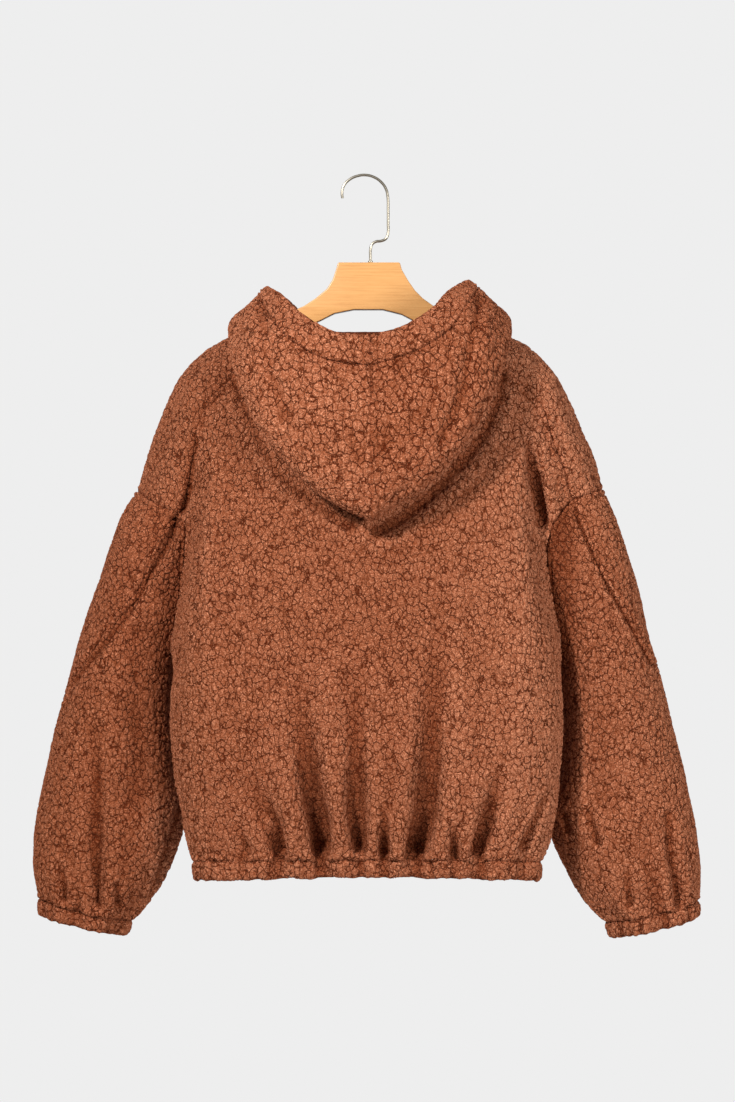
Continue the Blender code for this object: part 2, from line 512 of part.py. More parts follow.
def solid_panel(name, points, flip, thick, totals, material):
    """One closed wall: the outer grid, the inner grid behind it and the edges between."""
    rows, columns = points.shape[:2]
    normals = np.zeros_like(points)
    for i in range(rows):
        for j in range(columns):
            total = totals[corner_key(points[i, j])]
            normals[i, j] = total / np.linalg.norm(total)
    folded = np.abs(points) * (1, 0, 0) + points * (0, 1, 1)
    wall = np.full(points.shape[:2], thick)
    gap = np.full(points.shape[:2], SEAM)
    for spot, reach in ((UNDERARM, 0.014), (NECK_POINT, 0.010)):
        near = np.exp(-np.sum((folded - spot) ** 2, -1) / reach ** 2)
        wall *= 1 - 0.7 * near
        gap += 0.0007 * near
        if spot == UNDERARM:
            normals[..., 2] -= 4 * near ** 3
    normals /= np.linalg.norm(normals, axis=-1, keepdims=True)
    trimmed = points.copy()
    for border, beside in (((0, slice(None)), (1, slice(None))), ((-1, slice(None)), (-2, slice(None))),
                           ((slice(None), 0), (slice(None), 1)), ((slice(None), -1), (slice(None), -2))):
        step = points[beside] - points[border]
        step /= np.linalg.norm(step, axis=-1, keepdims=True)
        trimmed[border] += step * gap[border][..., None]
    inner = trimmed - normals * wall[..., None]
    mesh = bmesh.new()
    layers = []
    for layer in (trimmed, inner):
        layers.append([[mesh.verts.new(layer[i, j]) for j in range(columns)] for i in range(rows)])
    outer_side, inner_side = layers
    for i in range(rows - 1):
        for j in range(columns - 1):
            ring = ((i, j), (i + 1, j), (i + 1, j + 1), (i, j + 1))
            mesh.faces.new([outer_side[r][c] for r, c in ring])
            mesh.faces.new([inner_side[r][c] for r, c in reversed(ring)])
    border = ([(i, 0) for i in range(rows)] + [(rows - 1, j) for j in range(1, columns)]
              + [(i, columns - 1) for i in range(rows - 2, -1, -1)] + [(0, j) for j in range(columns - 2, 0, -1)])
    for here, after in zip(border, border[1:] + border[:1]):
        out_here, out_after = outer_side[here[0]][here[1]], outer_side[after[0]][after[1]]
        in_here, in_after = inner_side[here[0]][here[1]], inner_side[after[0]][after[1]]
        if corner_key(points[here]) < corner_key(points[after]):
            mesh.faces.new([out_after, out_here, in_here])
            mesh.faces.new([out_after, in_here, in_after])
        else:
            mesh.faces.new([out_after, out_here, in_after])
            mesh.faces.new([out_here, in_here, in_after])
    if flip:
        bmesh.ops.reverse_faces(mesh, faces=mesh.faces)
    bmesh.ops.triangulate(mesh, faces=mesh.faces, quad_method="SHORT_EDGE")
    return keep(name, mesh, material)


def keep(name, mesh, material):
    data = bpy.data.meshes.new(name)
    mesh.to_mesh(data)
    mesh.free()
    node = bpy.data.objects.new(name, data)
    bpy.context.scene.collection.objects.link(node)
    data.materials.append(material)
    data.shade_smooth()
    data.set_sharp_from_angle(angle=math.radians(50))
    return node


def ring_solid(name, rings, material):
    """A closed solid through rings of points, with flat ends."""
    mesh = bmesh.new()
    loops = [[mesh.verts.new(point) for point in ring] for ring in rings]
    for low, high in zip(loops, loops[1:]):
        for k in range(len(low)):
            after = (k + 1) % len(low)
            mesh.faces.new([low[k], low[after], high[after], high[k]])
    mesh.faces.new(list(reversed(loops[0])))
    mesh.faces.new(loops[-1])
    bmesh.ops.triangulate(mesh, faces=mesh.faces)
    bmesh.ops.recalc_face_normals(mesh, faces=mesh.faces)
    return keep(name, mesh, material)


def hanger_solid(material):
    outline = np.array(HANGER)
    ahead = np.roll(outline, -1, 0) - outline
    ahead /= np.linalg.norm(ahead, axis=1, keepdims=True)
    bend = ahead + np.roll(ahead, 1, 0)
    bend /= np.linalg.norm(bend, axis=1, keepdims=True)
    inset = outline + np.stack([bend[:, 1], -bend[:, 0]], 1) * HANGER_EDGE
    half = HANGER_THICK / 2
    rings = []
    for y, flat in ((-half, inset), (HANGER_EDGE - half, outline), (half - HANGER_EDGE, outline), (half, inset)):
        rings.append([(x, y, z) for x, z in flat])
    return ring_solid("hanger_wood", rings, material)


def hook_solid(material):
    middle = along(HOOK, np.linspace(0, len(HOOK) - 1, 2 * len(HOOK) - 1))
    ahead = np.gradient(middle, axis=0)
    ahead /= np.linalg.norm(ahead, axis=1, keepdims=True)
    rings = []
    for number, ((x, z), (dx, dz)) in enumerate(zip(middle, ahead)):
        radius = HOOK_WIRE / 2 * (0.55 if number == 0 else 1)
        turns = np.linspace(0, 2 * math.pi, 12, endpoint=False)
        rings.append([(x + radius * math.cos(t) * dz, radius * math.sin(t), z - radius * math.cos(t) * dx)
                      for t in turns])
        if number == 0:
            tip = [(a - dx * radius * 0.6, b, c - dz * radius * 0.6) for a, b, c in rings[0]]
            rings = [tip, [(a + (a - x) * 0.8, b * 1.8, c + (c - z) * 0.8) for a, b, c in rings[0]]]
    return ring_solid("hanger_hook", rings, material)


def collar_solid(material):
    inner, outer, low, high = COLLAR
    mesh = bmesh.new()
    profile = ((inner, low), (outer, low), (outer, high), (inner, high))
    loops = []
    for t in np.linspace(0, 2 * math.pi, 20, endpoint=False):
        loops.append([mesh.verts.new((HOOK[-1][0] + r * math.cos(t), r * math.sin(t), z)) for r, z in profile])
    for here, after in zip(loops, loops[1:] + loops[:1]):
        for k in range(4):
            mesh.faces.new([here[k], after[k], after[(k + 1) % 4], here[(k + 1) % 4]])
    bmesh.ops.triangulate(mesh, faces=mesh.faces)
    bmesh.ops.recalc_face_normals(mesh, faces=mesh.faces)
    return keep("hanger_collar", mesh, material)


def zip_strip(name, section, low, high, side, material):
    """A flat strip down the centre front; its faces follow the front edges' curve."""
    left, right, outer, inner = section
    upper = [hood_surface(LEFT, 1.0, arc) for arc in (0.12, 0.3, 0.5, 0.7, 1)]
    line = [(y, z - HEM_HEIGHT) for y, z in FRONT_MIDDLE[:1]] + list(FRONT_MIDDLE)
    line += [(row[4], row[5]) for row in FRONT_UPPER[:3]] + [(float(p[1]), float(p[2])) for p in upper]
    line = np.array(line)
    places = [z for z in line[:, 1] if low + 0.004 < z < high - 0.004]
    rings = []
    for z in [low] + places + [high]:
        y = np.interp(z, line[:, 1], line[:, 0])
        slope = (np.interp(z + 0.006, line[:, 1], line[:, 0]) - np.interp(z - 0.006, line[:, 1], line[:, 0])) / 0.012
        out = np.array((1, -slope)) / math.hypot(1, slope)
        ring = []
        for x, deep in ((left, outer), (right, outer), (right, inner), (left, inner)):
            ring.append((MID_X + side * x, y + out[0] * deep, z + out[1] * deep))
        rings.append(ring)
    return ring_solid(name, rings, material)


def finish_of(name, colour, roughness, metallic=0.0):
    material = bpy.data.materials.new(name)
    material.use_nodes = True
    shader = material.node_tree.nodes["Principled BSDF"]
    shader.inputs["Base Color"].default_value = colour
    shader.inputs["Roughness"].default_value = roughness
    shader.inputs["Metallic"].default_value = metallic
    return material


def cloth_panels():
    """Every cloth piece as a grid of points, whether its grid runs clockwise, and its wall."""
    panels = {}
    columns = [NECK_SHARE * c for c in SHOULDER_COLUMNS]
    columns += list(np.linspace(NECK_SHARE, 1 - NECK_SHARE, NECK_STEPS + 1)[1:-1])
    columns += [1 - NECK_SHARE * c for c in reversed(SHOULDER_COLUMNS)]
    panels["back"] = (grid(back_surface, columns, BACK_ROWS), False, CLOTH)
    panels["hem_back"] = (grid(lambda u, d: hem_surface("back", 0, u, d), columns, (1, 0.5, 0)), False, CASING)
    sleeve_shares = [(row - 8) / 4 for row in BACK_ROWS if row >= 8]
    front_shares = [(17 - row) / 9 for row in reversed(FRONT_ROWS) if row >= 8]
    neck = [abs(u - 0.5) / (0.5 - NECK_SHARE) / 2 for u in np.linspace(0.5, 1 - NECK_SHARE, NECK_STEPS // 2 + 1)]
    hood_shares = neck + [0.5 + (17 - row) / 12 for row in reversed(FRONT_ROWS) if 11 <= row < 17]
    casing_steps = (HOOD_STEPS[-1], 1 - HOOD_CASING_SHARE, 1)
    for side, word in ((LEFT, "left"), (RIGHT, "right")):
        flip = side == RIGHT
        panels["front_" + word] = (
            grid(lambda c, s: front_surface(side, c, s), SHOULDER_COLUMNS, FRONT_ROWS), not flip, CLOTH)
        panels["hem_front_" + word] = (
            grid(lambda c, d: hem_surface("front", side, c, d), SHOULDER_COLUMNS, (1, 0.5, 0)), not flip, CASING)
        for half, face, shares in ((0, "back", sleeve_shares), (1, "front", front_shares)):
            panels["sleeve_" + word + "_" + face] = (
                grid(lambda j, t: sleeve_surface(side, half, j, t), shares, SLEEVE_RINGS), flip, CLOTH)
            panels["cuff_" + word + "_" + face] = (
                grid(lambda j, d: cuff_surface(side, half, j, d), shares, (0, 0.5, 1)), flip, CASING)
        panels["hood_" + word] = (
            grid(lambda b, a: hood_surface(side, b, a), hood_shares, HOOD_STEPS), not flip, CLOTH)
        panels["hood_casing_" + word] = (
            grid(lambda b, a: hood_surface(side, b, a), hood_shares, casing_steps), not flip, CASING)
    return panels


# ---------------------------------------------------------------- clear the scene and build
for item in list(bpy.data.objects):
    bpy.data.objects.remove(item, do_unlink=True)

sherpa = finish_of("sherpa", SHERPA, 0.95)
panels = cloth_panels()
totals = shared_normals(panels)
for name, (points, flip, thick) in panels.items():
    solid_panel(name, points, flip, thick, totals, sherpa)

tape = finish_of("zip_tape", ZIP_TAPE, 0.8)
metal = finish_of("zip_metal", STEEL, 0.35, 1.0)
zip_strip("zip_chain", CHAIN, -0.8020, -0.2185, 1, metal)
zip_strip("zip_slider", SLIDER, SLIDER_Z[0], SLIDER_Z[1], 1, metal)
zip_strip("zip_tape_left", TAPE, -0.8025, -0.2175, LEFT, tape)
zip_strip("zip_tape_right", TAPE, -0.8025, -0.2175, RIGHT, tape)

steel = finish_of("hook_steel", STEEL, 0.25, 1.0)
hanger_solid(finish_of("hanger_wood", WOOD, 0.5))
hook_solid(steel)
collar_solid(steel)
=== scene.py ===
"""Hooded sherpa jacket hanging on a wooden hanger, seen from behind.

Metres, +Z up. The origin is the top of the hook's crook; the back faces -Y, the zipped front +Y.
"""

import math

import bpy
import numpy as np
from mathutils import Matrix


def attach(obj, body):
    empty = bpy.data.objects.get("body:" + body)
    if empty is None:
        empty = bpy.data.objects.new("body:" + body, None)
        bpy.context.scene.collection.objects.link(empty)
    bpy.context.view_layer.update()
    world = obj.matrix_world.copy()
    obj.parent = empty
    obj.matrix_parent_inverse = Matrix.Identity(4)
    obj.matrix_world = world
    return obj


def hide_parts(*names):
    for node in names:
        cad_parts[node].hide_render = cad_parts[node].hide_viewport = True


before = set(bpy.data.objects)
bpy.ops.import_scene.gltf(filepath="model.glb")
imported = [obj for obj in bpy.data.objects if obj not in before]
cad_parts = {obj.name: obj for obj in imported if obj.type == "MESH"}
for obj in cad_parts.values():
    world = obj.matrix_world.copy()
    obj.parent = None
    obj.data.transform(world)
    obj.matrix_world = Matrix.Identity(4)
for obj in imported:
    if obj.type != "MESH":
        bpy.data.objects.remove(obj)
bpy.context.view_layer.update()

# ---------------------------------------------------------------- camera
# Level, straight at the jacket's back, with the long lens of a catalogue picture.
CAMERA_AWAY = 3.0
SHOWN_HEIGHT = 1.2673       # what the picture shows of the plane through the hook
bpy.ops.object.camera_add(location=(0.00253, -CAMERA_AWAY, -0.4307), rotation=(math.pi / 2, 0, 0))
camera = bpy.context.object
camera.name = "camera"
camera.data.sensor_fit = "VERTICAL"
camera.data.sensor_height = 24.0
camera.data.lens = camera.data.sensor_height / SHOWN_HEIGHT * CAMERA_AWAY
bpy.context.scene.camera = camera

# ---------------------------------------------------------------- room and light
# A photographer's studio: a lit white paper behind the jacket, one large soft lamp at the upper
# left, a weaker one at the right, and a floor far below.
world = bpy.data.worlds.new("studio")
bpy.context.scene.world = world
world.use_nodes = True
world.node_tree.nodes["Background"].inputs["Color"].default_value = (1.0, 0.985, 0.97, 1)
world.node_tree.nodes["Background"].inputs["Strength"].default_value = 0.23
bpy.context.scene.view_settings.view_transform = "Standard"


def soft_lamp(name, place, size, energy, turn):
    bpy.ops.object.light_add(type="AREA", location=place)
    lamp = bpy.context.object
    lamp.name = name
    lamp.data.shape = "DISK"
    lamp.data.size = size
    lamp.data.energy = energy
    lamp.rotation_euler = [math.radians(angle) for angle in turn]


soft_lamp("key_lamp", (-1.6, -2.2, 1.15), 0.32, 108.0, (59.5, 0, -36))
soft_lamp("fill_lamp", (2.0, -2.2, -0.1), 1.2, 58.0, (83.3, 0, 42.3))


def material(name, values):
    """A new material with these values on its surface."""
    made = bpy.data.materials.new(name)
    made.use_nodes = True
    for label, value in values.items():
        made.node_tree.nodes["Principled BSDF"].inputs[label].default_value = value
    return made


bpy.ops.mesh.primitive_plane_add(size=10.0, location=(0, 3.6, -0.4), rotation=(math.pi / 2, 0, 0))
paper = bpy.context.object
paper.name = "paper"
paper.data.materials.append(material("lit_paper", {
    "Base Color": (0.0, 0.0, 0.0, 1), "Specular IOR Level": 0.0,
    "Emission Color": (0.855, 0.855, 0.855, 1), "Emission Strength": 1.0}))

bpy.ops.mesh.primitive_circle_add(vertices=64, radius=1.5, fill_type="NGON", location=(0, 0, -1.6))
floor = bpy.context.object
floor.name = "floor"
floor.data.materials.append(material("floor_white", {"Base Color": (0.8, 0.8, 0.8, 1), "Roughness": 0.9}))


# ---------------------------------------------------------------- sherpa cloth
# Polyester pile on a knitted back: round curly clumps about a centimetre across, with dark
# cracks between them and fine curls on top. One pattern shapes the surface and tints it; the
# tint's darker cracks and lighter clump tops are partly the pile's own colour, partly painted shade.
class Wire:
    """A node socket that adds nodes as it is used in sums."""

    def __init__(self, tree, socket):
        self.tree = tree
        self.socket = socket

    def node(self, kind, output, settings=None, inputs=None):
        made = self.tree.nodes.new(kind)
        for name, value in (settings or {}).items():
            setattr(made, name, value)
        for name, value in (inputs or {}).items():
            if isinstance(value, Wire):
                self.tree.links.new(value.socket, made.inputs[name])
            else:
                made.inputs[name].default_value = value
        return Wire(self.tree, made.outputs[output])

    def sum(self, operation, *values):
        return self.node("ShaderNodeMath", 0, {"operation": operation}, dict(enumerate(values)))

    def __add__(self, other):
        return self.sum("ADD", self, other)

    def __sub__(self, other):
        return self.sum("SUBTRACT", self, other)

    def __rsub__(self, other):
        return self.sum("SUBTRACT", other, self)

    def __mul__(self, other):
        return self.sum("MULTIPLY", self, other)

    __radd__ = __add__
    __rmul__ = __mul__

    def step(self, low, high):
        """Smoothly from 0 at low to 1 at high."""
        limits = {"Value": self, "From Min": low, "From Max": high}
        return self.node("ShaderNodeMapRange", "Result", {"interpolation_type": "SMOOTHSTEP"}, limits)

    def noise(self, scale, detail=2.0, output=0):
        return self.node("ShaderNodeTexNoise", output, {}, {"Vector": self, "Scale": scale, "Detail": detail})

    def cells(self, scale, feature="F1"):
        return self.node("ShaderNodeTexVoronoi", "Distance", {"feature": feature},
                         {"Vector": self, "Scale": scale})

    def vector(self, operation, inputs):
        return self.node("ShaderNodeVectorMath", 0, {"operation": operation}, {0: self, **inputs})

    def shifted(self, scale, amount):
        """This place, pushed about by noise."""
        push = self.noise(scale, 2.0, 1).vector("SUBTRACT", {1: (0.5, 0.5, 0.5)})
        return self.vector("ADD", {1: push.vector("SCALE", {"Scale": amount})})

    def ramp(self, *stops):
        """Colours at values from 0 to 1."""
        made = self.node("ShaderNodeValToRGB", "Color", {}, {"Fac": self})
        elements = made.socket.node.color_ramp.elements
        while len(elements) < len(stops):
            elements.new(0.5)
        for stop, (place, colour) in zip(elements, stops):
            stop.position = place
            stop.color = (*colour, 1)
        return made

    def bump(self, strength, distance):
        return self.node("ShaderNodeBump", 0, {},
                         {"Height": self, "Strength": strength, "Distance": distance})

    def into(self, label):
        """Plugged into the surface of its material."""
        self.tree.links.new(self.socket, self.tree.nodes["Principled BSDF"].inputs[label])


def on_object(made):
    """Object coordinates, in a material."""
    return Wire(made.node_tree, made.node_tree.nodes.new("ShaderNodeTexCoord").outputs["Object"])


def stored(made, name, output):
    """An attribute of the mesh, in a material."""
    source = made.node_tree.nodes.new("ShaderNodeAttribute")
    source.attribute_name = name
    return Wire(made.node_tree, source.outputs[output])


CLUMPS = 165.0          # pattern scales, in cells or waves to a metre
CURLS = 620.0
FIBRES = 900.0


def clumps(place):
    """Height of the pile's clumps, and how far open the cracks between them are."""
    stretched = place.vector("MULTIPLY", {1: (1.0, 1.0, 0.72)})
    loose = stretched.shifted(150.0, 0.0052).shifted(440.0, 0.0026)
    dome = 1 - 1.15 * loose.cells(CLUMPS)
    closed = 1 - loose.cells(CLUMPS, "DISTANCE_TO_EDGE").step(0.010, 0.085)
    crack = closed * (0.30 + 0.70 * place.noise(95.0, 2.0).step(0.32, 0.58))
    return dome, crack


def curls(place):
    return place.noise(CURLS, 3.0).step(0.28, 0.72)


pile_tree = bpy.data.node_groups.new("pile_relief", "GeometryNodeTree")
pile_tree.interface.new_socket("Geometry", in_out="INPUT", socket_type="NodeSocketGeometry")
pile_tree.interface.new_socket("Geometry", in_out="OUTPUT", socket_type="NodeSocketGeometry")
entry = Wire(pile_tree, pile_tree.nodes.new("NodeGroupInput").outputs[0])
place = entry.node("GeometryNodeInputNamedAttribute", 0, {"data_type": "FLOAT_VECTOR"}, {"Name": "cloth"})
depth = entry.node("GeometryNodeInputNamedAttribute", 0, {"data_type": "FLOAT"}, {"Name": "pile"})
dome, crack = clumps(place)
swell = (place.noise(13.0, 1.0) - 0.5) * 0.0045
relief = swell * (0.3 + 0.7 * depth)
relief = relief + depth * (0.0008 * dome - 0.0013 * crack + 0.0006 * curls(place) - 0.0002)
push = entry.node("GeometryNodeInputNormal", 0).vector("SCALE", {"Scale": relief})
moved = entry.node("GeometryNodeSetPosition", 0, {}, {"Geometry": entry, "Offset": push})
pile_tree.links.new(moved.socket, pile_tree.nodes.new("NodeGroupOutput").inputs[0])

sherpa = material("sherpa_pile", {
    "Roughness": 0.95, "Specular IOR Level": 0.06, "Sheen Weight": 0.08, "Sheen Roughness": 0.5,
    "Sheen Tint": (0.9, 0.42, 0.24, 1)})
place = stored(sherpa, "cloth", "Vector")
# Darker where the pile attribute is low, at seams, stitch rows, turned edges and on the inner face: partly
# pressed pile, partly painted shade in those grooves.
pressed_and_shaded = 1 - stored(sherpa, "pile", "Fac")
# Painted shade from the shade attribute: darker in hollows, lighter on ridges.
shade = stored(sherpa, "shade", "Fac")
dome, crack = clumps(place)
curl = curls(place)
fibre = place.noise(FIBRES, 2.0)
# Tint: random curls, fibres and broad patches; cracks darker and clump tops lighter, partly the pile's own
# colour and partly painted shade.
tone = (0.105 + 0.05 * dome + 0.44 * curl + 0.14 * fibre + 0.06 * place.noise(20.0, 2.0) - 0.54 * crack
        - 0.20 * pressed_and_shaded - 0.20 * shade)
tone.ramp((0.00, (0.130, 0.020, 0.004)), (0.20, (0.235, 0.058, 0.020)),
          (0.46, (0.390, 0.115, 0.050)), (0.76, (0.680, 0.265, 0.140))).into("Base Color")
(0.64 * curl + 0.16 * fibre + 0.36 * dome - crack).bump(1.0, 0.0026).into("Normal")


def spread(surface, first, second):
    """A fine grid over a surface, its points evenly spaced along the first direction."""
    dense = (1 - np.cos(np.linspace(0, math.pi, 500))) / 2
    trial = surface(*np.broadcast_arrays(dense[:, None], second[None, :]))
    lengths = np.cumsum(np.linalg.norm(np.diff(trial, axis=0), axis=-1), axis=0)
    lengths = np.concatenate([np.zeros((1, len(second))), lengths]) / lengths[-1]
    wanted = np.linspace(0, 1, first + 1)
    places = np.stack([np.interp(wanted, lengths[:, j], dense) for j in range(len(second))], 1)
    return surface(places, np.broadcast_to(second, places.shape))


def even_rows(surface, middle, low, high, count):
    """Second parameters that are evenly spaced along the surface's middle line."""
    dense = np.linspace(low, high, 400)
    line = surface(np.full(400, middle), dense)
    lengths = np.concatenate([[0], np.cumsum(np.linalg.norm(np.diff(line, axis=0), axis=-1))])
    return np.interp(np.linspace(0, 1, count + 1), lengths / lengths[-1], dense)


STITCH_ROW = 0.0080     # from a topstitched seam to its row of stitches
SEAM_REACH = 0.0014     # how far cloth runs on past a seam, under the pile
CAVITY = 0.008          # how far away cloth still shades a hollow
COARSE = 3              # the outer face's steps to one of the inner face


def stitch_row(apart):
    return np.exp(-((apart - STITCH_ROW) / 0.0013) ** 2)


def seam_relief(apart, stitched):
    """Groove at a seam, the plump edge beside it and, on a topstitched one, its row of stitches."""
    return ((-0.0009 - 0.0013 * stitched) * np.exp(-(apart / 0.0014) ** 2)
            + 0.0013 * np.exp(-((apart - 0.0042) / 0.0021) ** 2) - 0.0014 * stitched * stitch_row(apart))


def turned_edge(apart):
    """How far cloth that is folded over rolls inwards at the fold."""
    return -0.0042 * np.clip(1 - apart / 0.0060, 0, 1) ** 2


def from_borders(points, axis):
    """Distances along the cloth from the start and from the end of one direction."""
    steps = np.linalg.norm(np.diff(points, axis=axis), axis=-1)
    start = np.concatenate([0 * np.take(steps, [0], axis), np.cumsum(steps, axis=axis)], axis)
    return start, np.take(start, [-1], axis) - start


def cavity(points, outward):
    """How deep each point lies between its neighbours on either side."""
    hollow = np.zeros(points.shape[:2])
    for axis in (0, 1):
        lines = np.moveaxis(points, axis, 0)
        steps = np.linalg.norm(np.diff(lines, axis=0), axis=-1)
        span = min(max(1, round(CAVITY / steps.mean())), len(lines) // 3)
        wide = np.pad(lines, ((span, span), (0, 0), (0, 0)), "reflect", reflect_type="odd")
        middle = np.moveaxis((wide[:-2 * span] + wide[2 * span:]) / 2, 0, axis)
        hollow += ((middle - points) * outward).sum(-1)
    return hollow


def outward_of(points, flip):
    across = np.cross(np.gradient(points, axis=0), np.gradient(points, axis=1))
    across /= np.maximum(np.linalg.norm(across, axis=-1, keepdims=True), 1e-12)
    return -across if flip else across


def cloth_piece(name, points, flip, wall, seams, nodes, flat, area, rests_on, painted_light_and_shade=0.0, clump=1.0):
    """A closed shell of sherpa: a fine outer face, a plainer inner face and the edges between.

    seams is 3 for a border topstitched to the zip, 2 for one topstitched to more cloth, 1 for a
    gathered one and 0 for a turned edge: at the first direction's start and end, then at the
    second direction's. The argument after rests_on is added to the shade attribute: painted shade
    where it is above 0 and painted light where it is below 0. clump enlarges the clumps.
    """
    outward = outward_of(points, flip)
    rows, columns = points.shape[:2]
    apart, folded, stitched = np.full((3, rows, columns), 1.0)
    for axis in (0, 1):
        for sewn, distance in zip(seams[2 * axis:2 * axis + 2], from_borders(points, axis)):
            if sewn:
                stitched = np.where(distance < apart, min(sewn, 2) - 1, stitched)
                apart = np.minimum(apart, distance)
            else:
                folded = np.minimum(folded, distance)
    # The shade attribute: painted shade in the cloth's hollows and painted light on its ridges, plus the
    # painted light and shade passed in as an argument.
    shade = np.clip(cavity(points, outward) / 0.0026, -0.3, 1) + painted_light_and_shade
    points = points.copy()
    for axis in (0, 1):
        edges = np.moveaxis(points, axis, 0)
        for sewn, border, next_to in zip(seams[2 * axis:2 * axis + 2], (0, -1), (1, -2)):
            if sewn in (1, 2):
                way = edges[border] - edges[next_to]
                way = way / np.maximum(np.linalg.norm(way, axis=-1, keepdims=True), 1e-9)
                edges[border] += way * SEAM_REACH
    outer = points + outward * (seam_relief(apart, stitched) + turned_edge(folded))[..., None]
    inner = (points - outward * wall)[::COARSE, ::COARSE]
    # The pile attribute: low at seams, stitch rows, turned edges and on the inner face, which flattens the
    # relief and darkens the tint, partly as painted shade.
    depth = 0.25 + 0.75 * np.clip((apart - 0.0003) / 0.0025, 0, 1)
    depth = depth * (0.35 + 0.65 * np.clip(folded / 0.006, 0, 1))
    depth = np.where(stitched > 0, depth * (1 - 0.55 * stitch_row(apart)), 0.5 + 0.5 * depth)
    pressed_and_shaded = np.full(inner.shape[:2], 0.2)
    number = np.arange(rows * columns).reshape(rows, columns)
    behind = rows * columns + np.arange(inner.shape[0] * inner.shape[1]).reshape(inner.shape[:2])

    def both(fine, coarse):
        """Values of the outer face's points, then of the inner face's."""
        return np.concatenate([fine.ravel(), coarse.ravel()])

    def quads(grid):
        return np.stack([grid[:-1, :-1], grid[1:, :-1], grid[1:, 1:], grid[:-1, 1:]], -1).reshape(-1, 4)

    faces = quads(number).tolist() + quads(behind)[:, ::-1].tolist()
    rims = ((number[:, 0], behind[:, 0]), (number[-1, :], behind[-1, :]),
            (number[::-1, -1], behind[::-1, -1]), (number[0, ::-1], behind[0, ::-1]))
    for fine, coarse in rims:
        for k in range(len(coarse) - 1):
            a, b, c, d = (int(value) for value in fine[COARSE * k:COARSE * (k + 1) + 1])
            low, high = int(coarse[k]), int(coarse[k + 1])
            faces += [(b, a, low), (b, low, high), (c, b, high), (d, c, high)]
    if flip:
        faces = [face[::-1] for face in faces]
    mesh = bpy.data.meshes.new(name)
    mesh.from_pydata(both(outer, inner).reshape(-1, 3).tolist(), [], faces)
    rest = both(points, points[::COARSE, ::COARSE]) / clump
    mesh.attributes.new("cloth", "FLOAT_VECTOR", "POINT").data.foreach_set("vector", rest)
    for label, values in (("pile", both(depth, pressed_and_shaded)), ("shade", both(shade, shade[::COARSE, ::COARSE]))):
        mesh.attributes.new(label, "FLOAT", "POINT").data.foreach_set("value", values)
    mesh.shade_smooth()
    piece = bpy.data.objects.new(name, mesh)
    bpy.context.scene.collection.objects.link(piece)
    mesh.materials.append(sherpa)
    bpy.ops.object.select_all(action="DESELECT")
    piece.select_set(True)
    bpy.context.view_layer.objects.active = piece
    piece.modifiers.new("pile", "NODES").node_group = pile_tree
    bpy.ops.object.modifier_apply(modifier="pile")
    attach(piece, "root")
    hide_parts(*nodes)


# ---------------------------------------------------------------- hanger
# Flat light beech, cut with a saw and rounded by a router, under a clear satin lacquer.
# Its outline, clockwise from the top left, in millimetres: x, z
HANGER = (
    (-31.4, -99.8), (-30, -99.3), (38.5, -99.3), (39.9, -99.8), (41.9, -107.5), (49.6, -120.7),
    (57.3, -131.7), (66.1, -140.5), (78.2, -149.2), (100, -162.7), (121.6, -173.2), (145, -183.7),
    (168.4, -197.2), (183, -207.2), (193, -215.2), (197.5, -220.7), (198.5, -227.5), (195.5, -231.5),
    (189.5, -231.5), (168.4, -220.5), (145, -206), (121.6, -193.8), (100, -185), (75, -174.2),
    (52.9, -165.1), (41.9, -159.3), (19.9, -153.8), (-13.1, -153.8), (-35.1, -158.1), (-52.7, -166.9),
    (-75, -175.8), (-98, -185.5), (-118.8, -194), (-140, -204.8), (-157.2, -214.5), (-174, -225.5),
    (-181, -230), (-186.5, -230.5), (-189.5, -227), (-188.8, -221.5), (-184, -214.2), (-174, -205.2),
    (-157.2, -194.2), (-140, -183.7), (-118.8, -172.9), (-98, -162.7), (-80, -153.5), (-70.3, -149.3),
    (-57, -140.5), (-43.9, -129.5), (-37.3, -118.6), (-33.6, -107.5),
)
HANGER_THICK = 0.012


def round_edges(piece, width, segments, least_angle):
    """Round the edges of the active piece that are sharper than an angle."""
    cut = piece.modifiers.new("rounding", "BEVEL")
    cut.width = width
    cut.segments = segments
    cut.limit_method = "ANGLE"
    cut.angle_limit = math.radians(least_angle)
    bpy.ops.object.modifier_apply(modifier="rounding")


bpy.ops.mesh.primitive_circle_add(vertices=len(HANGER), radius=0.1, fill_type="NGON")
hanger = bpy.context.object
hanger.name = "hanger"
for vertex, (x, z) in zip(hanger.data.vertices, HANGER):
    vertex.co = (x / 1000, -HANGER_THICK / 2, z / 1000)
bpy.ops.object.mode_set(mode="EDIT")
bpy.ops.mesh.select_all(action="SELECT")
bpy.ops.mesh.extrude_region_move(TRANSFORM_OT_translate={"value": (0, HANGER_THICK, 0)})
bpy.ops.mesh.select_all(action="SELECT")
bpy.ops.mesh.normals_make_consistent(inside=False)
bpy.ops.object.mode_set(mode="OBJECT")
round_edges(hanger, 0.0022, 4, 50)
bpy.ops.object.shade_smooth_by_angle(angle=math.radians(35))

beech = material("beech", {"Roughness": 0.38, "Coat Weight": 0.25, "Coat Roughness": 0.25})
wood_place = on_object(beech)
along_grain = wood_place.vector("MULTIPLY", {1: (14.0, 90.0, 330.0)})
facing = wood_place.node("ShaderNodeNewGeometry", "Normal")
# Painted shade on the faces that point down: the grain's tint darkens on the hanger's underside.
under = (0 - facing.node("ShaderNodeSeparateXYZ", "Z", {}, {"Vector": facing})).step(0.10, 0.75)
grain = 0.72 * along_grain.noise(1.6, 4.0) + 0.28 * along_grain.noise(9.0, 2.0) - 0.42 * under
grain.ramp((0.05, (0.16, 0.055, 0.015)), (0.30, (0.56, 0.258, 0.078)), (0.50, (0.67, 0.330, 0.106)),
           (0.70, (0.71, 0.370, 0.130))).into("Base Color")
grain.bump(0.25, 0.0004).into("Normal")
hanger.data.materials.append(beech)
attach(hanger, "root")
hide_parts("hanger_wood")

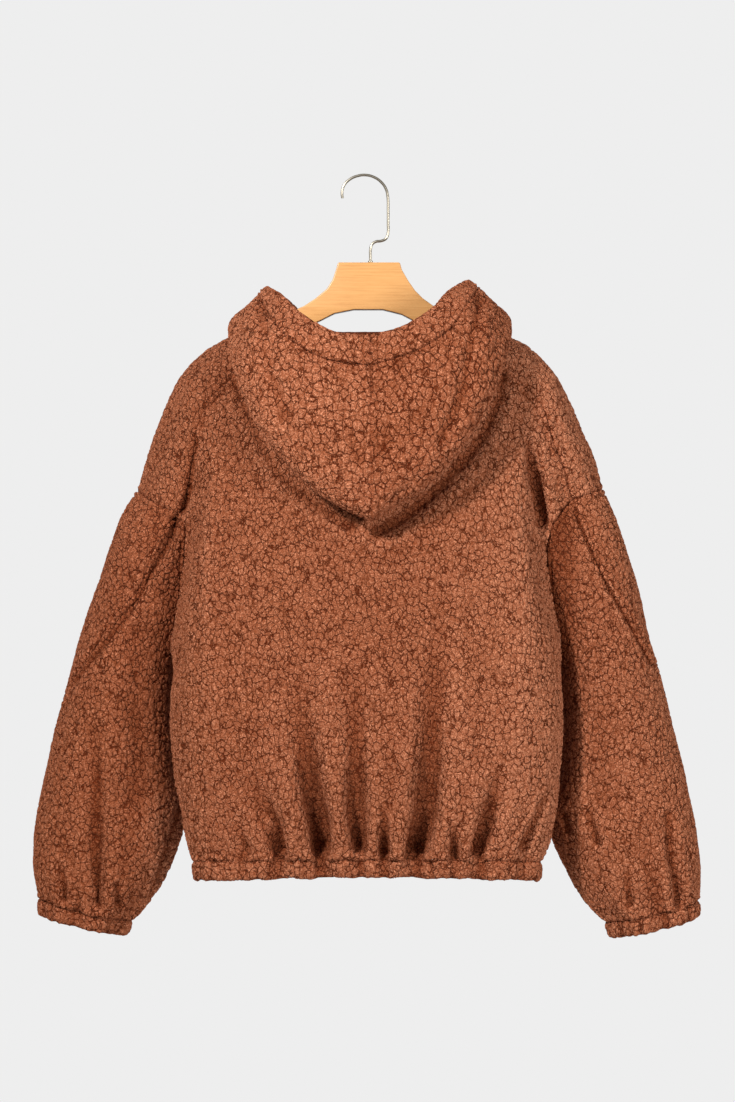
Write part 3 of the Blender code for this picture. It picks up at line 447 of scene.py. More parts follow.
# ---------------------------------------------------------------- hook
# Bright steel wire bent to a crook; its shank is screwed down into the wood through a small collar.
# Middle of the wire from its tip to the wood, in millimetres: x, z
HOOK = (
    (-26.2, -25), (-26.8, -19), (-24.7, -10.6), (-18, -3.5), (-9, 0.6), (0.6, 1.6), (10, -0.8),
    (18.5, -6.7), (24, -15), (25.9, -24), (26.3, -39), (26.3, -53.7), (26, -66), (23.6, -71.6),
    (18.5, -74.1), (11.8, -75.1), (7.5, -78.5), (6, -84), (5.9, -92), (5.9, -99.1),
)
HOOK_WIRE = 0.0032
bpy.ops.curve.primitive_nurbs_path_add()
hook = bpy.context.object
hook.name = "hook"
hook.data.splines.clear()
wire = hook.data.splines.new("BEZIER")
wire.bezier_points.add(len(HOOK) - 1)
for knot, (x, z) in zip(wire.bezier_points, HOOK):
    knot.co = (x / 1000, 0, z / 1000)
    knot.handle_left_type = knot.handle_right_type = "AUTO"
wire.resolution_u = 8
hook.data.bevel_depth = HOOK_WIRE / 2
hook.data.bevel_resolution = 6
hook.data.use_fill_caps = True
bpy.ops.object.convert(target="MESH")
bpy.ops.object.mode_set(mode="EDIT")
bpy.ops.mesh.select_all(action="SELECT")
bpy.ops.mesh.remove_doubles(threshold=0.00001)
bpy.ops.mesh.normals_make_consistent(inside=False)
bpy.ops.object.mode_set(mode="OBJECT")
round_edges(hook, 0.0007, 3, 60)
bpy.ops.object.shade_smooth_by_angle(angle=math.radians(40))

bright = material("bright_steel", {"Metallic": 1.0, "Base Color": (0.40, 0.36, 0.29, 1)})
(0.30 + 0.14 * on_object(bright).noise(120.0, 3.0)).into("Roughness")
hook.data.materials.append(bright)
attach(hook, "root")
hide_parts("hanger_hook")

bpy.ops.mesh.primitive_cylinder_add(vertices=40, radius=0.0027, depth=0.0022, location=(0.0059, 0, -0.0981))
bpy.ops.object.transform_apply(location=True)
ferrule = bpy.context.object
ferrule.name = "hook_collar"
round_edges(ferrule, 0.0005, 3, 30)
bpy.ops.object.shade_smooth_by_angle(angle=math.radians(40))
ferrule.data.materials.append(bright)
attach(ferrule, "root")
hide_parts("hanger_collar")

# ---------------------------------------------------------------- back
# One wide panel with dropped shoulders, gathered at its foot into the hem casing.
MID_X = 0.0045          # the jacket's middle
NECK_SHARE = 0.22       # share of the back's width that each shoulder seam spans
BACK_ROUND = 2.6        # how square the back's cross-section is: 2 is an ellipse
CLOTH = 0.0042          # thickness of the shells
LEFT, RIGHT = -1, 1


def millimetres(rows):
    """A table of lengths written in millimetres, in metres."""
    return np.array(rows) / 1000


# Side seam (rows 0 to 8) and back armhole (rows 8 to 12), from the hem up.
# left x, y, z; right x, y, z; y of the back's middle at that row
BACK_EDGE = millimetres((
    (-198.6, -10, -787, 203.1, -10, -787, -66),
    (-203.1, -12, -767.4, 209.3, -12, -767.4, -74),
    (-208.1, -14, -740.9, 215.4, -14, -740.9, -81),
    (-212, -15, -715.6, 219.9, -15, -715.6, -86),
    (-217.5, -15, -687, 221.7, -15, -687, -89),
    (-220.5, -15, -641.2, 224.5, -15, -641.2, -91),
    (-221.5, -13, -601.3, 224.5, -13, -601.3, -90),
    (-220, -6, -567.3, 222.8, -6, -567.3, -88),
    (-222.3, 6, -533.3, 223.9, 6, -533.3, -84),
    (-212.5, -4, -476, 213, -4, -474, -77),
    (-206.5, -12, -430.5, 208, -11, -430, -68),
    (-206, -17, -404.5, 215, -12, -398, -57),
    (-215.5, -16, -389, 237, -4, -371.2, -43),
))
BACK_MIDDLE = (BACK_EDGE[0][6], BACK_EDGE[-1][6])
UNDERARM, BACK_TOP = 8.0, len(BACK_EDGE) - 1.0      # rows of the back
# Shoulder seam and the ridge above it, from the arm to the neck.
# seam: left x, y, z, right x, y, z; ridge: left x, z, right x, z, y of both
SHOULDER = millimetres((
    (-215.5, -16, -389, 237, -4, -371.2, -264, -361, 274.3, -358.7, 30),
    (-205.5, -26, -356.5, 226.2, -16, -332.4, -252.8, -324, 265.3, -322.8, 26),
    (-195.5, -34, -304.5, 214.2, -24, -304.1, -238.8, -283.7, 249.3, -288.6, 20),
    (-186.8, -36, -278.4, 205.7, -30, -276, -227.9, -256.3, 236.4, -258.6, 13),
    (-178.7, -36, -259.1, 195.3, -34, -258, -210.6, -226.7, 217.5, -225.5, 7),
    (-152.6, -36, -234.1, 169.8, -36, -234.6, -184.5, -200.5, 190.7, -197.6, 2),
    (-134.4, -36, -219.3, 144, -36, -218.2, -157.2, -184.6, 168.4, -185.7, 0),
    (-117.3, -36, -204.6, 120.1, -36, -204.6, -118.8, -166.2, 121.6, -166.2, 0),
))
# Folds, in millimetres: x and z at the top, x and z at the bottom, half width, depth at the bottom
BACK_FOLDS = (
    (183.5, -290, 201, -385, 10, 16),
    (-152, -755, -136, -777, 11, 5),
    (-142, -680, -99, -778, 14, 9.5),
    (-78, -530, -50, -777, 15, 13.5),
    (-12, -530, -5, -774, 13, 8.5),
    (21, -730, 21, -779, 9, 6),
    (86, -490, 57, -778, 16, 12.5),
    (103, -750, 103, -786, 9, 5.5),
    (155, -670, 129, -777, 14, 9.5),
    (196, -725, 181, -777, 10, 6),
)


def along(rows, place):
    """A table's values at a row number, on a smooth curve through its rows."""
    table = np.asarray(rows, float)
    place = np.clip(np.asarray(place, float), 0, len(table) - 1)
    index = np.minimum(place.astype(int), len(table) - 2)
    part = (place - index)[..., None]
    before = table[np.maximum(index - 1, 0)]
    here = table[index]
    after = table[index + 1]
    later = table[np.minimum(index + 2, len(table) - 1)]
    cubic = 3 * (here - after) + later - before
    square = 2 * before - 5 * here + 4 * after - later
    return here + 0.5 * part * (after - before + part * (square + part * cubic))


def rounding(share, power):
    """Height of a rounded cross-section: 0 at its edges (-1 and 1), 1 in the middle."""
    return np.maximum(1 - np.abs(share) ** power, 0) ** (1 / power)


def soft_step(value):
    value = np.clip(value, 0, 1)
    return value * value * (3 - 2 * value)


def valleys(folds, x, z):
    """Depth of the body's folds at a place on it."""
    x, z = x * 1000, z * 1000
    depth = np.zeros_like(x)
    for top_x, top_z, low_x, low_z, width, deep in folds:
        down = (top_z - z) / (top_z - low_z)
        middle = top_x + (low_x - top_x) * np.clip(down, 0, 1.3)
        across = (x - middle) / width
        fade = soft_step(down) * (1 - soft_step((down - 1) / 0.3))
        depth += deep * fade * np.exp(-across * across)
    return depth / 1000


def of_side(values, side):
    """The left or right point among a table's first six columns."""
    return values[..., 0:3] if side == LEFT else values[..., 3:6]


def back_edge(side, row):
    return of_side(along(BACK_EDGE, row), side)


def shoulder(share):
    return along(SHOULDER, (len(SHOULDER) - 1) * np.asarray(share, float))


def shoulder_seam(side, share):
    return of_side(shoulder(share), side)


def shoulder_ridge(side, share):
    values = shoulder(share)
    first = 6 if side == LEFT else 8
    return np.stack([values[..., first], values[..., 10], values[..., first + 1]], -1)


def back_top(across):
    """Top edge of the back: left shoulder seam, neck, right shoulder seam."""
    left = shoulder_seam(LEFT, np.clip(across / NECK_SHARE, 0, 1))
    right = shoulder_seam(RIGHT, np.clip((1 - across) / NECK_SHARE, 0, 1))
    neck = np.clip((across - NECK_SHARE) / (1 - 2 * NECK_SHARE), 0, 1)
    point = left + (right - shoulder_seam(RIGHT, 1.0)) + neck[..., None] * (
        shoulder_seam(RIGHT, 1.0) - shoulder_seam(LEFT, 1.0))
    sag = 4 * neck * (1 - neck)
    point[..., 1] -= 0.008 * sag
    point[..., 2] -= 0.012 * sag
    return point


def back_surface(across, row):
    """Point of the back's outer face; across 0 to 1 from left to right, row as in the table."""
    across, row = np.broadcast_arrays(np.asarray(across, float), np.asarray(row, float))
    up = row / BACK_TOP
    left, right = back_edge(LEFT, row), back_edge(RIGHT, row)
    low_left, low_right = back_edge(LEFT, 0.0), back_edge(RIGHT, 0.0)
    high_left, high_right = back_edge(LEFT, BACK_TOP), back_edge(RIGHT, BACK_TOP)
    u = across[..., None]
    v = up[..., None]
    swell = rounding(2 * across - 1, BACK_ROUND)
    valley = soft_step((row - 7.0) / 2.0)
    swell = swell * (1 - valley) + (1 - np.abs(2 * across - 1) ** 4.5) * valley
    hem = low_left + (low_right - low_left) * u
    hem[..., 1] += (BACK_MIDDLE[0] - hem[..., 1]) * swell
    hem[..., 2] += 0.009 * rounding(2 * across - 1, 2)
    bilinear = ((1 - v) * ((1 - u) * low_left + u * low_right)
                + v * ((1 - u) * high_left + u * high_right))
    sides = (1 - u) * left + u * right
    point = (1 - v) * hem + v * back_top(across) + sides - bilinear
    centre = (1 - up) * BACK_MIDDLE[0] + up * BACK_MIDDLE[1] + sides[..., 1] - bilinear[..., 1]
    point[..., 1] += (along(BACK_EDGE, row)[..., 6] - centre) * swell * (1 - up ** 8)
    point[..., 1] += valleys(BACK_FOLDS, point[..., 0], point[..., 2]) * np.minimum(1, 3 * swell)
    return point


# Creases and gathers too narrow for the folds above, in millimetres: depth at the top and the foot,
# half width at the top and the foot, then the points: x, z
BACK_CREASES = (
    (5, 11, 7, 8, ((160, -205), (153, -255), (137, -295), (118, -322), (88, -354), (62, -378),
     (38, -396), (15, -408))),
    (1, 1.5, 6, 7, ((-150, -240), (-125, -300), (-98, -345), (-60, -378), (-15, -404))),
    (4, 7.5, 5.5, 5, ((-196, -305), (-200.5, -342), (-204, -363), (-211, -384))),
    (3, 11, 5, 6.5, ((186.5, -308), (188.5, -325), (196, -360), (204, -398))),
    (0, 6, 10, 5, ((-150, -735), (-133, -768))),
    (1, 14, 14, 6.2, ((-136, -676), (-115.8, -710), (-102.3, -738), (-96.7, -772))),
    (1.5, 20, 17, 7.5, ((-86, -560), (-73.2, -637), (-65.4, -673), (-58.6, -708), (-52.5, -739),
     (-49.7, -768))),
    (1.5, 14, 15, 6.2, ((-12, -570), (-11.5, -661), (-11.5, -724), (-6.3, -764))),
    (0, 10, 6, 4.5, ((21, -712), (21, -772))),
    (1.5, 21, 17, 7.8, ((84, -500), (77.2, -613), (76.1, -661), (69.4, -724), (60.4, -755),
     (55.9, -774))),
    (2, 10, 6, 4.5, ((100.7, -744), (100.7, -778))),
    (1, 16, 12, 6, ((151.1, -668), (143.3, -708), (134.3, -748), (126.4, -769))),
    (3, 8, 4, 4.5, ((204, -712), (192, -740), (179, -766))),
)


def creases(lines, x, z):
    """Depth of narrow creases that follow lines of points, each tapered along its line."""
    x, z = x * 1000, z * 1000
    depth = np.zeros_like(x)
    for top_deep, foot_deep, top_wide, foot_wide, line in lines:
        nearest = np.full_like(x, 1000.0)
        down = np.zeros_like(x)
        for k, ((ax, az), (bx, bz)) in enumerate(zip(line, line[1:])):
            part = ((x - ax) * (bx - ax) + (z - az) * (bz - az)) / ((bx - ax) ** 2 + (bz - az) ** 2)
            part = np.clip(part, 0, 1)
            distance = np.hypot(x - ax - part * (bx - ax), z - az - part * (bz - az))
            down = np.where(distance < nearest, (k + part) / (len(line) - 1), down)
            nearest = np.minimum(nearest, distance)
        wide = top_wide + (foot_wide - top_wide) * down
        depth += (top_deep + (foot_deep - top_deep) * down) * (
            np.exp(-(nearest / wide) ** 2) - 0.22 * np.exp(-((nearest - 2.2 * wide) / wide) ** 2))
    return depth / 1000


def eased(sunk, points):
    """Creases that run out at the seams, so that the pieces still meet there."""
    nearest = np.minimum.reduce([*from_borders(points, 0), *from_borders(points, 1)])
    return np.minimum(sunk, 0.0032 + 1.7 * nearest)


GATHER = 0.0152         # from one gather to the next, on average


def gathers(x, seed):
    """Small uneven gathers along an elastic."""
    wave = np.sin(2 * math.pi * x / GATHER + 1.5 * np.sin(2 * math.pi * x / 0.094 + seed) + seed)
    size = 0.62 + 0.38 * np.sin(2 * math.pi * x / 0.067 + 2.1 * seed)
    return wave * size


def gathered_foot(points, seed):
    """Depth between the gathers of a panel that is sewn to the hem casing."""
    return 0.0010 * np.exp(-(points[..., 2] + 0.787) / 0.020) * (1 - gathers(points[..., 0], seed))


BACK_GATHERS, FRONT_GATHERS = 0.4, 1.7      # seeds of their patterns
back_rows = even_rows(back_surface, 0.5, 0.0, BACK_TOP, 240)
back_points = spread(back_surface, 345, back_rows)
outward = outward_of(back_points, False)
sunk = creases(BACK_CREASES, back_points[..., 0], back_points[..., 2])
sunk = sunk + gathered_foot(back_points, BACK_GATHERS)
back_points = back_points - outward * eased(sunk, back_points)[..., None]
# Painted light on the back's right part: its tint grows lighter towards the right edge.
cloth_piece("back_panel", back_points, False, CLOTH, (1, 1, 1, 2),
            ("back",), (0.68, 0.60), 0.290, ["hanger"],
            -0.5 * np.clip((back_points[..., 0] - 0.06) / 0.12, 0, 1))

# ---------------------------------------------------------------- fronts
# Cut like the back but open down the middle; their shoulders wrap over to the back.
FRONT_ROUND = 2.1
FRONT_EDGE = 0.0036     # half the slot between the fronts, where the zip's chain shows
RIDGE, SEAM = 15.0, 17.0        # stations of a front above its underarm, which is at 8 as the back's
NECK_STATIONS = 6               # from the shoulder seam to the neck's end at the centre front
# From above the underarm to below the ridge.
# outer edge: distance from MID_X, y, z; inner edge: distance from MID_X, y, z
FRONT_UPPER = millimetres((
    (223.5, 40, -500, 3.6, 68, -420),
    (226.5, 55, -460, 3.6, 64, -340),
    (234.5, 58, -425, 3.6, 58, -262),
    (244.5, 56, -402, 52, 53, -248),
    (254.5, 50, -383, 92, 39, -215),
    (264, 41, -369, 114, 19, -184),
))
FRONT_MIDDLE = millimetres((        # y and z of the centre front edge at stations 0 to 8
    (56, -780), (61, -756), (66, -728), (70, -700), (73, -670), (75, -625), (75, -585), (73, -545),
    (71, -500),
))
FRONT_FOLDS = (         # as BACK_FOLDS
    (-160, -660, -146, -780, 16, 8),
    (-105, -560, -94, -780, 17, 10),
    (-50, -640, -47, -780, 14, 7),
    (62, -650, 56, -780, 14, 7),
    (118, -540, 108, -780, 17, 10),
    (172, -680, 158, -780, 16, 8),
)


def front_stations(side):
    """Outer and inner edge points of a front at its stations, hem to shoulder seam."""
    outer = [back_edge(side, float(row)) for row in range(len(FRONT_MIDDLE))]
    inner = [np.array((MID_X + side * FRONT_EDGE, y, z)) for y, z in FRONT_MIDDLE]
    for out_x, out_y, out_z, in_x, in_y, in_z in FRONT_UPPER:
        outer.append(np.array((MID_X + side * out_x, out_y, out_z)))
        inner.append(np.array((MID_X + side * in_x, in_y, in_z)))
    tip, neck = shoulder_ridge(side, 0.0), shoulder_ridge(side, 1.0)
    corner, point = shoulder_seam(side, 0.0), shoulder_seam(side, 1.0)
    outer += [tip, tip * 0.45 + corner * 0.55 + (side * 0.004, -0.010, 0.001), corner]
    inner += [neck, neck * 0.5 + point * 0.5 + (0, -0.008, 0.006), point]
    return np.array(outer), np.array(inner)


def front_surface(side, across, station):
    """Point of a front's outer face; across 0 at the side to 1 at the centre front."""
    across, station = np.broadcast_arrays(np.asarray(across, float), np.asarray(station, float))
    outer, inner = (along(rows, station) for rows in front_stations(side))
    c = across[..., None]
    point = outer + (inner - outer) * c
    body = 1 - soft_step((station - UNDERARM) / 6)
    quarter = rounding(1 - across, FRONT_ROUND)
    point[..., 1] += (inner[..., 1] - outer[..., 1]) * (quarter - across) * body
    swell = 0.012 * np.sin(math.pi * across) * soft_step((station - UNDERARM) / 3)
    point[..., 1] += swell * (1 - soft_step((station - RIDGE + 3) / 3))
    ridge = shoulder_ridge(side, across)
    ridge_line = shoulder_ridge(side, 0.0) * (1 - c) + shoulder_ridge(side, 1.0) * c
    seam = shoulder_seam(side, across)
    seam_line = shoulder_seam(side, 0.0) * (1 - c) + shoulder_seam(side, 1.0) * c
    to_seam = soft_step((station - RIDGE) / (SEAM - RIDGE))
    to_ridge = soft_step((station - RIDGE + 5.5) / 5.5) * (1 - to_seam)
    point += (ridge - ridge_line) * to_ridge[..., None] + (seam - seam_line) * to_seam[..., None]
    near_zip = np.minimum(1, 4 * (1 - across)) * np.minimum(1, 5 * across)
    point[..., 1] -= valleys(FRONT_FOLDS, point[..., 0], point[..., 2]) * near_zip
    return point


def front_of(side):
    def surface(across, station):
        return front_surface(side, across, station)
    points = spread(surface, 111, even_rows(surface, 0.4, 0.0, SEAM, 222))
    sunk = gathered_foot(points, FRONT_GATHERS) * (points[..., 1] > -0.02)
    return points - outward_of(points, side == LEFT) * sunk[..., None]


def seen_behind(points):
    """1 on the strips that wrap over to the back, 0 on the front."""
    return np.clip((0.04 - points[..., 1]) / 0.04, 0, 1)


# Painted shade on the left front's strip that wraps to the back, painted light on the right one.
for side, word, painted_light_and_shade in ((LEFT, "left", 0.15), (RIGHT, "right", -0.5)):
    points = front_of(side)
    cloth_piece("front_panel_" + word, points, side == LEFT, CLOTH, (1, 3, 1, 2),
                ("front_" + word,), (0.285, 0.76), 0.160, ["hanger"], painted_light_and_shade * seen_behind(points))

# ---------------------------------------------------------------- sleeves
# Two panels each, joined over and under the arm, full above the gathered cuff.
# Sections from the armhole to the cuff seam: y of the middle, half depth; left outer x, z and inner
# x, z; right outer x, z and inner x, z
SLEEVE = millimetres((
    (22, 36, -264, -361, -226.5, -534, 274.3, -358.7, 229, -534),
    (30, 48, -284.5, -393.4, -226.2, -566.9, 290.8, -393.4, 229.2, -566.9),
    (35, 55, -307.4, -461, -226.2, -611.6, 313.6, -461, 230, -611.6),
    (38, 59, -331.2, -527.7, -224, -653.9, 328.6, -527.7, 229, -653.9),
    (40, 60, -350.1, -601.4, -219.5, -696.2, 348.1, -599.1, 224, -696.2),
    (41, 58, -368.8, -671.6, -209.5, -731.2, 368, -671.6, 213, -731.2),
    (41, 55, -383.2, -742.8, -216.7, -766.2, 381.9, -739.3, 219.4, -766.2),
    (41, 50, -386.7, -794.2, -238.8, -817.5, 390.6, -794.2, 242.7, -817.5),
    (41, 45, -383, -822.1, -257.4, -844.3, 390.8, -824.4, 260.2, -844.3),
    (41, 40, -380.1, -834.9, -271.5, -861.8, 388.7, -837.3, 278.9, -864.2),
))
LAST_SECTION = len(SLEEVE) - 1.0
# Angle of the overarm seam at the sections, 0 at the inner side and 180 at the outer: left, right
OVERARM = tuple(zip(
    (127, 98, 117, 134, 168, 186, 196, 202, 205, 207),
    (127, 114, 127, 150, 180, 190, 198, 203, 206, 207),
))
# Valleys: angle round the sleeve, first and last section, half width in degrees, depth in metres
SLEEVE_FOLDS = (
    (40, 5.5, 9.0, 14, 0.0060),
    (74, 2.5, 6.0, 20, 0.0070),
    (98, 5.0, 9.0, 13, 0.0085),
    (140, 7.0, 9.0, 13, 0.0045),
    (222, 5.5, 9.0, 14, 0.0070),
    (262, 3.0, 9.0, 18, 0.0080),
    (310, 5.5, 9.0, 14, 0.0070),
)
# Where the front half of the armhole lies on the sleeve's first section:
# share from the overarm seam to the underarm, and the part of the turn still to come
ARMHOLE_SHARES = (0, 0.111, 0.222, 0.333, 0.444, 0.556, 0.667, 0.778, 0.889, 1)
ARMHOLE_TURNS = (1, 0.90, 0.773, 0.665, 0.592, 0.524, 0.451, 0.352, 0.227, 0)


def armhole(side, half, share):
    """The armhole's edge: the back's part (half 0) or the front's (half 1), from the table rows."""
    if half == 0:
        return back_edge(side, UNDERARM + (BACK_TOP - UNDERARM) * share)
    return front_surface(side, 0.0, SEAM - (SEAM - UNDERARM) * share)


def sleeve_section(side, section):
    """Outer and inner point and half depth of a sleeve's section."""
    values = np.moveaxis(along(SLEEVE, section), -1, 0)
    middle_y, half_depth = values[:2]
    outer_x, outer_z, inner_x, inner_z = values[2:6] if side == LEFT else values[6:10]
    return np.stack([outer_x, middle_y, outer_z], -1), np.stack([inner_x, middle_y, inner_z], -1), half_depth


def sleeve_ring(side, half, share, section):
    """Point on the sleeve's own rounded sections, before they meet the armhole."""
    outer, inner, half_depth = sleeve_section(side, section)
    overarm = along(OVERARM, section)[..., 0 if side == LEFT else 1]
    if half == 0:
        at_armhole = overarm * np.sqrt(share)
        on_sleeve = overarm * share
    else:
        at_armhole = 360 - (360 - overarm) * np.interp(share, ARMHOLE_SHARES, ARMHOLE_TURNS)
        on_sleeve = overarm + (360 - overarm) * np.interp(share, (0, 0.222, 0.667, 1), (0, 0.27, 0.7, 1))
    angle = at_armhole + (on_sleeve - at_armhole) * soft_step(section / 3.5)
    turn = np.radians(angle)
    tuck = 0.9 + 0.45 * (1 - soft_step((angle - 60) / 40))
    flat = np.sign(np.sin(turn)) * np.abs(np.sin(turn)) ** tuck
    for middle, first, last, width, depth in SLEEVE_FOLDS:
        across = (angle - middle) / width
        if last == LAST_SECTION:
            fade = soft_step((section - first) / (last - first))
        else:
            fade = soft_step(section - first) * soft_step(last - section)
        flat = flat * (1 - np.exp(-across * across) * fade * depth / half_depth)
    point = (outer + inner) / 2 + (inner - outer) / 2 * np.cos(turn)[..., None]
    point[..., 1] -= half_depth * flat
    return point


def sleeve_surface(side, half, share, section):
    """Point of a sleeve. Half 0 runs from the underarm to the overarm seam, half 1 back to it."""
    share, section = np.broadcast_arrays(np.asarray(share, float), np.asarray(section, float))
    point = sleeve_ring(side, half, share, section)
    pull = armhole(side, half, share) - sleeve_ring(side, half, share, np.zeros_like(section))
    return point + pull * (np.clip(1 - section / 1.4, 0, 1) ** 2)[..., None]


# Creases of the sleeves' backs, as BACK_CREASES
SLEEVE_CREASES = (
    (9, 2, 4.5, 5, ((-218, -394), (-220.5, -409), (-227.5, -425), (-240.5, -448), (-251, -466),
     (-266, -495), (-292, -530), (-335, -580))),
    (3, 13, 13, 6.5, ((-308, -640), (-307.5, -717), (-308.6, -775), (-308.6, -836))),
    (8, 4, 15, 14, ((-260.2, -525), (-260.2, -594), (-256, -664), (-258, -706))),
    (2.5, 3, 3, 3, ((-214.2, -724), (-221.1, -750), (-233.8, -785), (-241.8, -812), (-251, -834))),
    (2, 8, 5, 4.5, ((-347.6, -800), (-346, -832))),
    (2, 7, 4, 4, ((-286, -815), (-284.4, -838))),
    (3, 12, 6, 6, ((348, -735), (351, -780), (359, -809), (363, -835))),
    (3.4, 3.4, 3, 3, ((241.1, -385), (254.9, -421.5), (277.9, -472.7), (307.8, -521.6), (329, -560))),
    (2, 6, 5, 4, ((256, -732), (266.4, -765))),
    (3, 5, 4, 4, ((230, -735), (234, -752))),
    (2, 6, 6, 4.5, ((300, -800), (304, -838))),
)


def sleeve_painted_light_and_shade(side, points):
    """Painted shade on the back of the left sleeve, turning to painted light at its inner foot, and painted
    shade where the right sleeve meets the body.
    """
    behind = np.clip((0.06 - points[..., 1]) / 0.03, 0, 1)
    if side == LEFT:
        inner = np.clip((points[..., 0] + 0.27) / 0.03, 0, 1) * np.clip((-0.70 - points[..., 2]) / 0.04, 0, 1)
        return (0.5 - 0.9 * inner) * behind
    return 1.1 * np.clip((0.246 - points[..., 0]) / 0.016, 0, 1) * behind


def arm_gathers(points, side, half):
    """Depth between the gathers round a sleeve's end."""
    around = np.arctan2(points[..., 1] - 0.041, points[..., 0] - side * 0.33) * 0.045
    return 0.0012 * (1 - gathers(around, 0.9 + side + half))


def sleeve_of(side, half):
    def surface(share, section):
        return sleeve_surface(side, half, share, section)
    sections = even_rows(surface, 0.5, 0.0, LAST_SECTION, 300)
    points = spread(surface, 126, sections)
    outward = outward_of(points, side == RIGHT)
    sunk = arm_gathers(points, side, half) * np.clip(sections - LAST_SECTION + 1, 0, 1)[None, :] ** 2
    at_back = np.clip(0.5 - outward[..., 1], 0, 1)
    sunk = sunk + creases(SLEEVE_CREASES, points[..., 0], points[..., 2]) * at_back
    points = points - outward * sunk[..., None]
    beside_body = np.exp(-((points[..., 2] + 0.56) / 0.085) ** 2)
    inner_side = soft_step(1 - np.abs(points[..., 0] - side * 0.205) / 0.045)
    points[..., 0] -= side * 0.010 * beside_body * inner_side
    return points


ARM_PIECES = [(side, word, half, face) for side, word in ((LEFT, "left"), (RIGHT, "right"))
              for half, face in ((0, "back"), (1, "front"))]
for side, word, half, face in ARM_PIECES:
    size, area = (((0.245, 0.515), 0.076), ((0.33, 0.515), 0.095))[half]
    points = sleeve_of(side, half)
    cloth_piece("sleeve_panel_" + word + "_" + face, points, side == RIGHT, CLOTH, (1, 2, 2, 1),
                ("sleeve_" + word + "_" + face,), size, area, ["back_panel", "front_panel_" + word],
                sleeve_painted_light_and_shade(side, points))

# ---------------------------------------------------------------- cuffs
# The sleeve's own cloth turned over a wide elastic and stitched down.
CASING = 0.0055         # thickness of the casings' shells
CUFF_LENGTH = 0.021


def cuff_surface(side, half, share, down):
    """Point of a cuff casing, which carries on from the sleeve's last section."""
    share, down = np.broadcast_arrays(np.asarray(share, float), np.asarray(down, float))
    top = sleeve_surface(side, half, share, LAST_SECTION)
    outer, inner, _ = sleeve_section(side, LAST_SECTION)
    across = (inner - outer) / np.linalg.norm(inner - outer)
    away = side * np.array((-across[2], 0, across[0]))
    inward = (outer + inner) / 2 - top
    inward /= np.linalg.norm(inward, axis=-1, keepdims=True)
    plump = 0.0022 * np.sin(math.pi * down)
    return top + away * (CUFF_LENGTH * down)[..., None] + inward * (0.003 * down - plump)[..., None]


for side, word, half, face in ARM_PIECES:
    points = spread(lambda share, down: cuff_surface(side, half, share, down), 90, np.linspace(0, 1, 13))
    points = points - outward_of(points, side == RIGHT) * arm_gathers(points, side, half)[..., None]
    size, area = (((0.173, 0.022), 0.0036), ((0.133, 0.022), 0.0028))[half]
    # Painted shade on the left cuffs.
    cloth_piece("cuff_band_" + word + "_" + face, points, side == RIGHT, CASING, (1, 1, 1, 0),
                ("cuff_" + word + "_" + face,), size, area, ["sleeve_panel_" + word + "_" + face],
                0.35 if side == LEFT else 0.0)

# ---------------------------------------------------------------- hem
# The same casing round the jacket's foot.
HEM_HEIGHT = 0.0235


def hem_surface(where, side, across, down):
    """Point of the hem casing; down 0 at its seam to 1 at its lower edge."""
    across, down = np.broadcast_arrays(np.asarray(across, float), np.asarray(down, float))
    if where == "back":
        top = back_surface(across, 0.0)
    else:
        top = front_surface(side, across, 0.0)
    point = top.copy()
    point[..., 2] -= HEM_HEIGHT * down
    middle = np.array((MID_X, -0.004, 0))
    inward = (middle - top) * (1, 1, 0)
    inward /= np.linalg.norm(inward, axis=-1, keepdims=True)
    plump = 0.002 * np.sin(math.pi * down)
    keep_front = 1 if where == "back" else 1 - across ** 4
    return point + inward * ((0.0035 * down - plump) * keep_front)[..., None]


def hem_band(name, where, side, count, seed, *declared):
    """A hem casing piece: where is back or front, and side says which front."""
    points = spread(lambda across, down: hem_surface(where, side, across, down), count, np.linspace(0, 1, 13))
    flip = where == "back" or side == RIGHT
    sunk = eased(0.0010 * (1 - gathers(points[..., 0], seed)), points)
    cloth_piece("hem_band_" + name, points - outward_of(points, flip) * sunk[..., None], flip, CASING,
                (1, 1, 1, 0), ("hem_" + name,), *declared)


hem_band("back", "back", LEFT, 240, BACK_GATHERS, (0.475, 0.024), 0.0111, ["back_panel"])
for side, word in ((LEFT, "left"), (RIGHT, "right")):
    hem_band("front_" + word, "front", side, 120, FRONT_GATHERS, (0.230, 0.024), 0.0054,
             ["front_panel_" + word])

# ---------------------------------------------------------------- hood
# Two halves with a seam down the middle, fallen down the back with the rim's casing uppermost.
HOOD_CASING_SHARE = 0.038
# Where arcs run from the neck seam to the rim, from the centre seam (0) to the centre front (1)
HOOD_SHARES = (0, 0.13, 0.27, 0.40, 0.51, 0.63, 0.76, 0.88, 1)
# Rise and reach of the roll above the neck seam; y of the fold, of the rim, of the layer against the
# back and of the outer layer; left fold x, z and rim x, z; right fold x, z and rim x, z
HOOD_ARCS = millimetres((
    (28, 22, -102, -108, -80, -130, 6, -397.5, 6, -189, 6, -397.5, 6, -189),
    (28, 22, -100, -107, -79, -128, -54.9, -365.3, -33.5, -184.8, 71.8, -354.7, 42.7, -177.4),
    (28, 20, -90, -92, -74, -114, -108.4, -305.4, -68, -165.4, 124.3, -290.5, 73.3, -157.6),
    (19, 17, -74, -64, -64, -90, -141.4, -242.5, -89.3, -144.6, 153.2, -227.9, 92.1, -136.7),
    (8, 14, -40, -30, -42, -46, -154.6, -191.3, -106.5, -131.5, 165.4, -185.6, 113.5, -122.7),
    (5, 4, -8, -6, -9, -8, -150, -171.5, -108.5, -127, 160, -168, 115.5, -121.5),
    (5, 3, 32, 24, 27, 30, -127, -173, -89, -139, 136, -173, 98, -139),
    (6, 3, 60, 52, 55, 60, -76, -214, -50, -174, 85, -214, 59, -174),
    (6, 2, 62, 61, 61, 62, 0.9, -238, 0.9, -215, 8.1, -238, 8.1, -215),
))


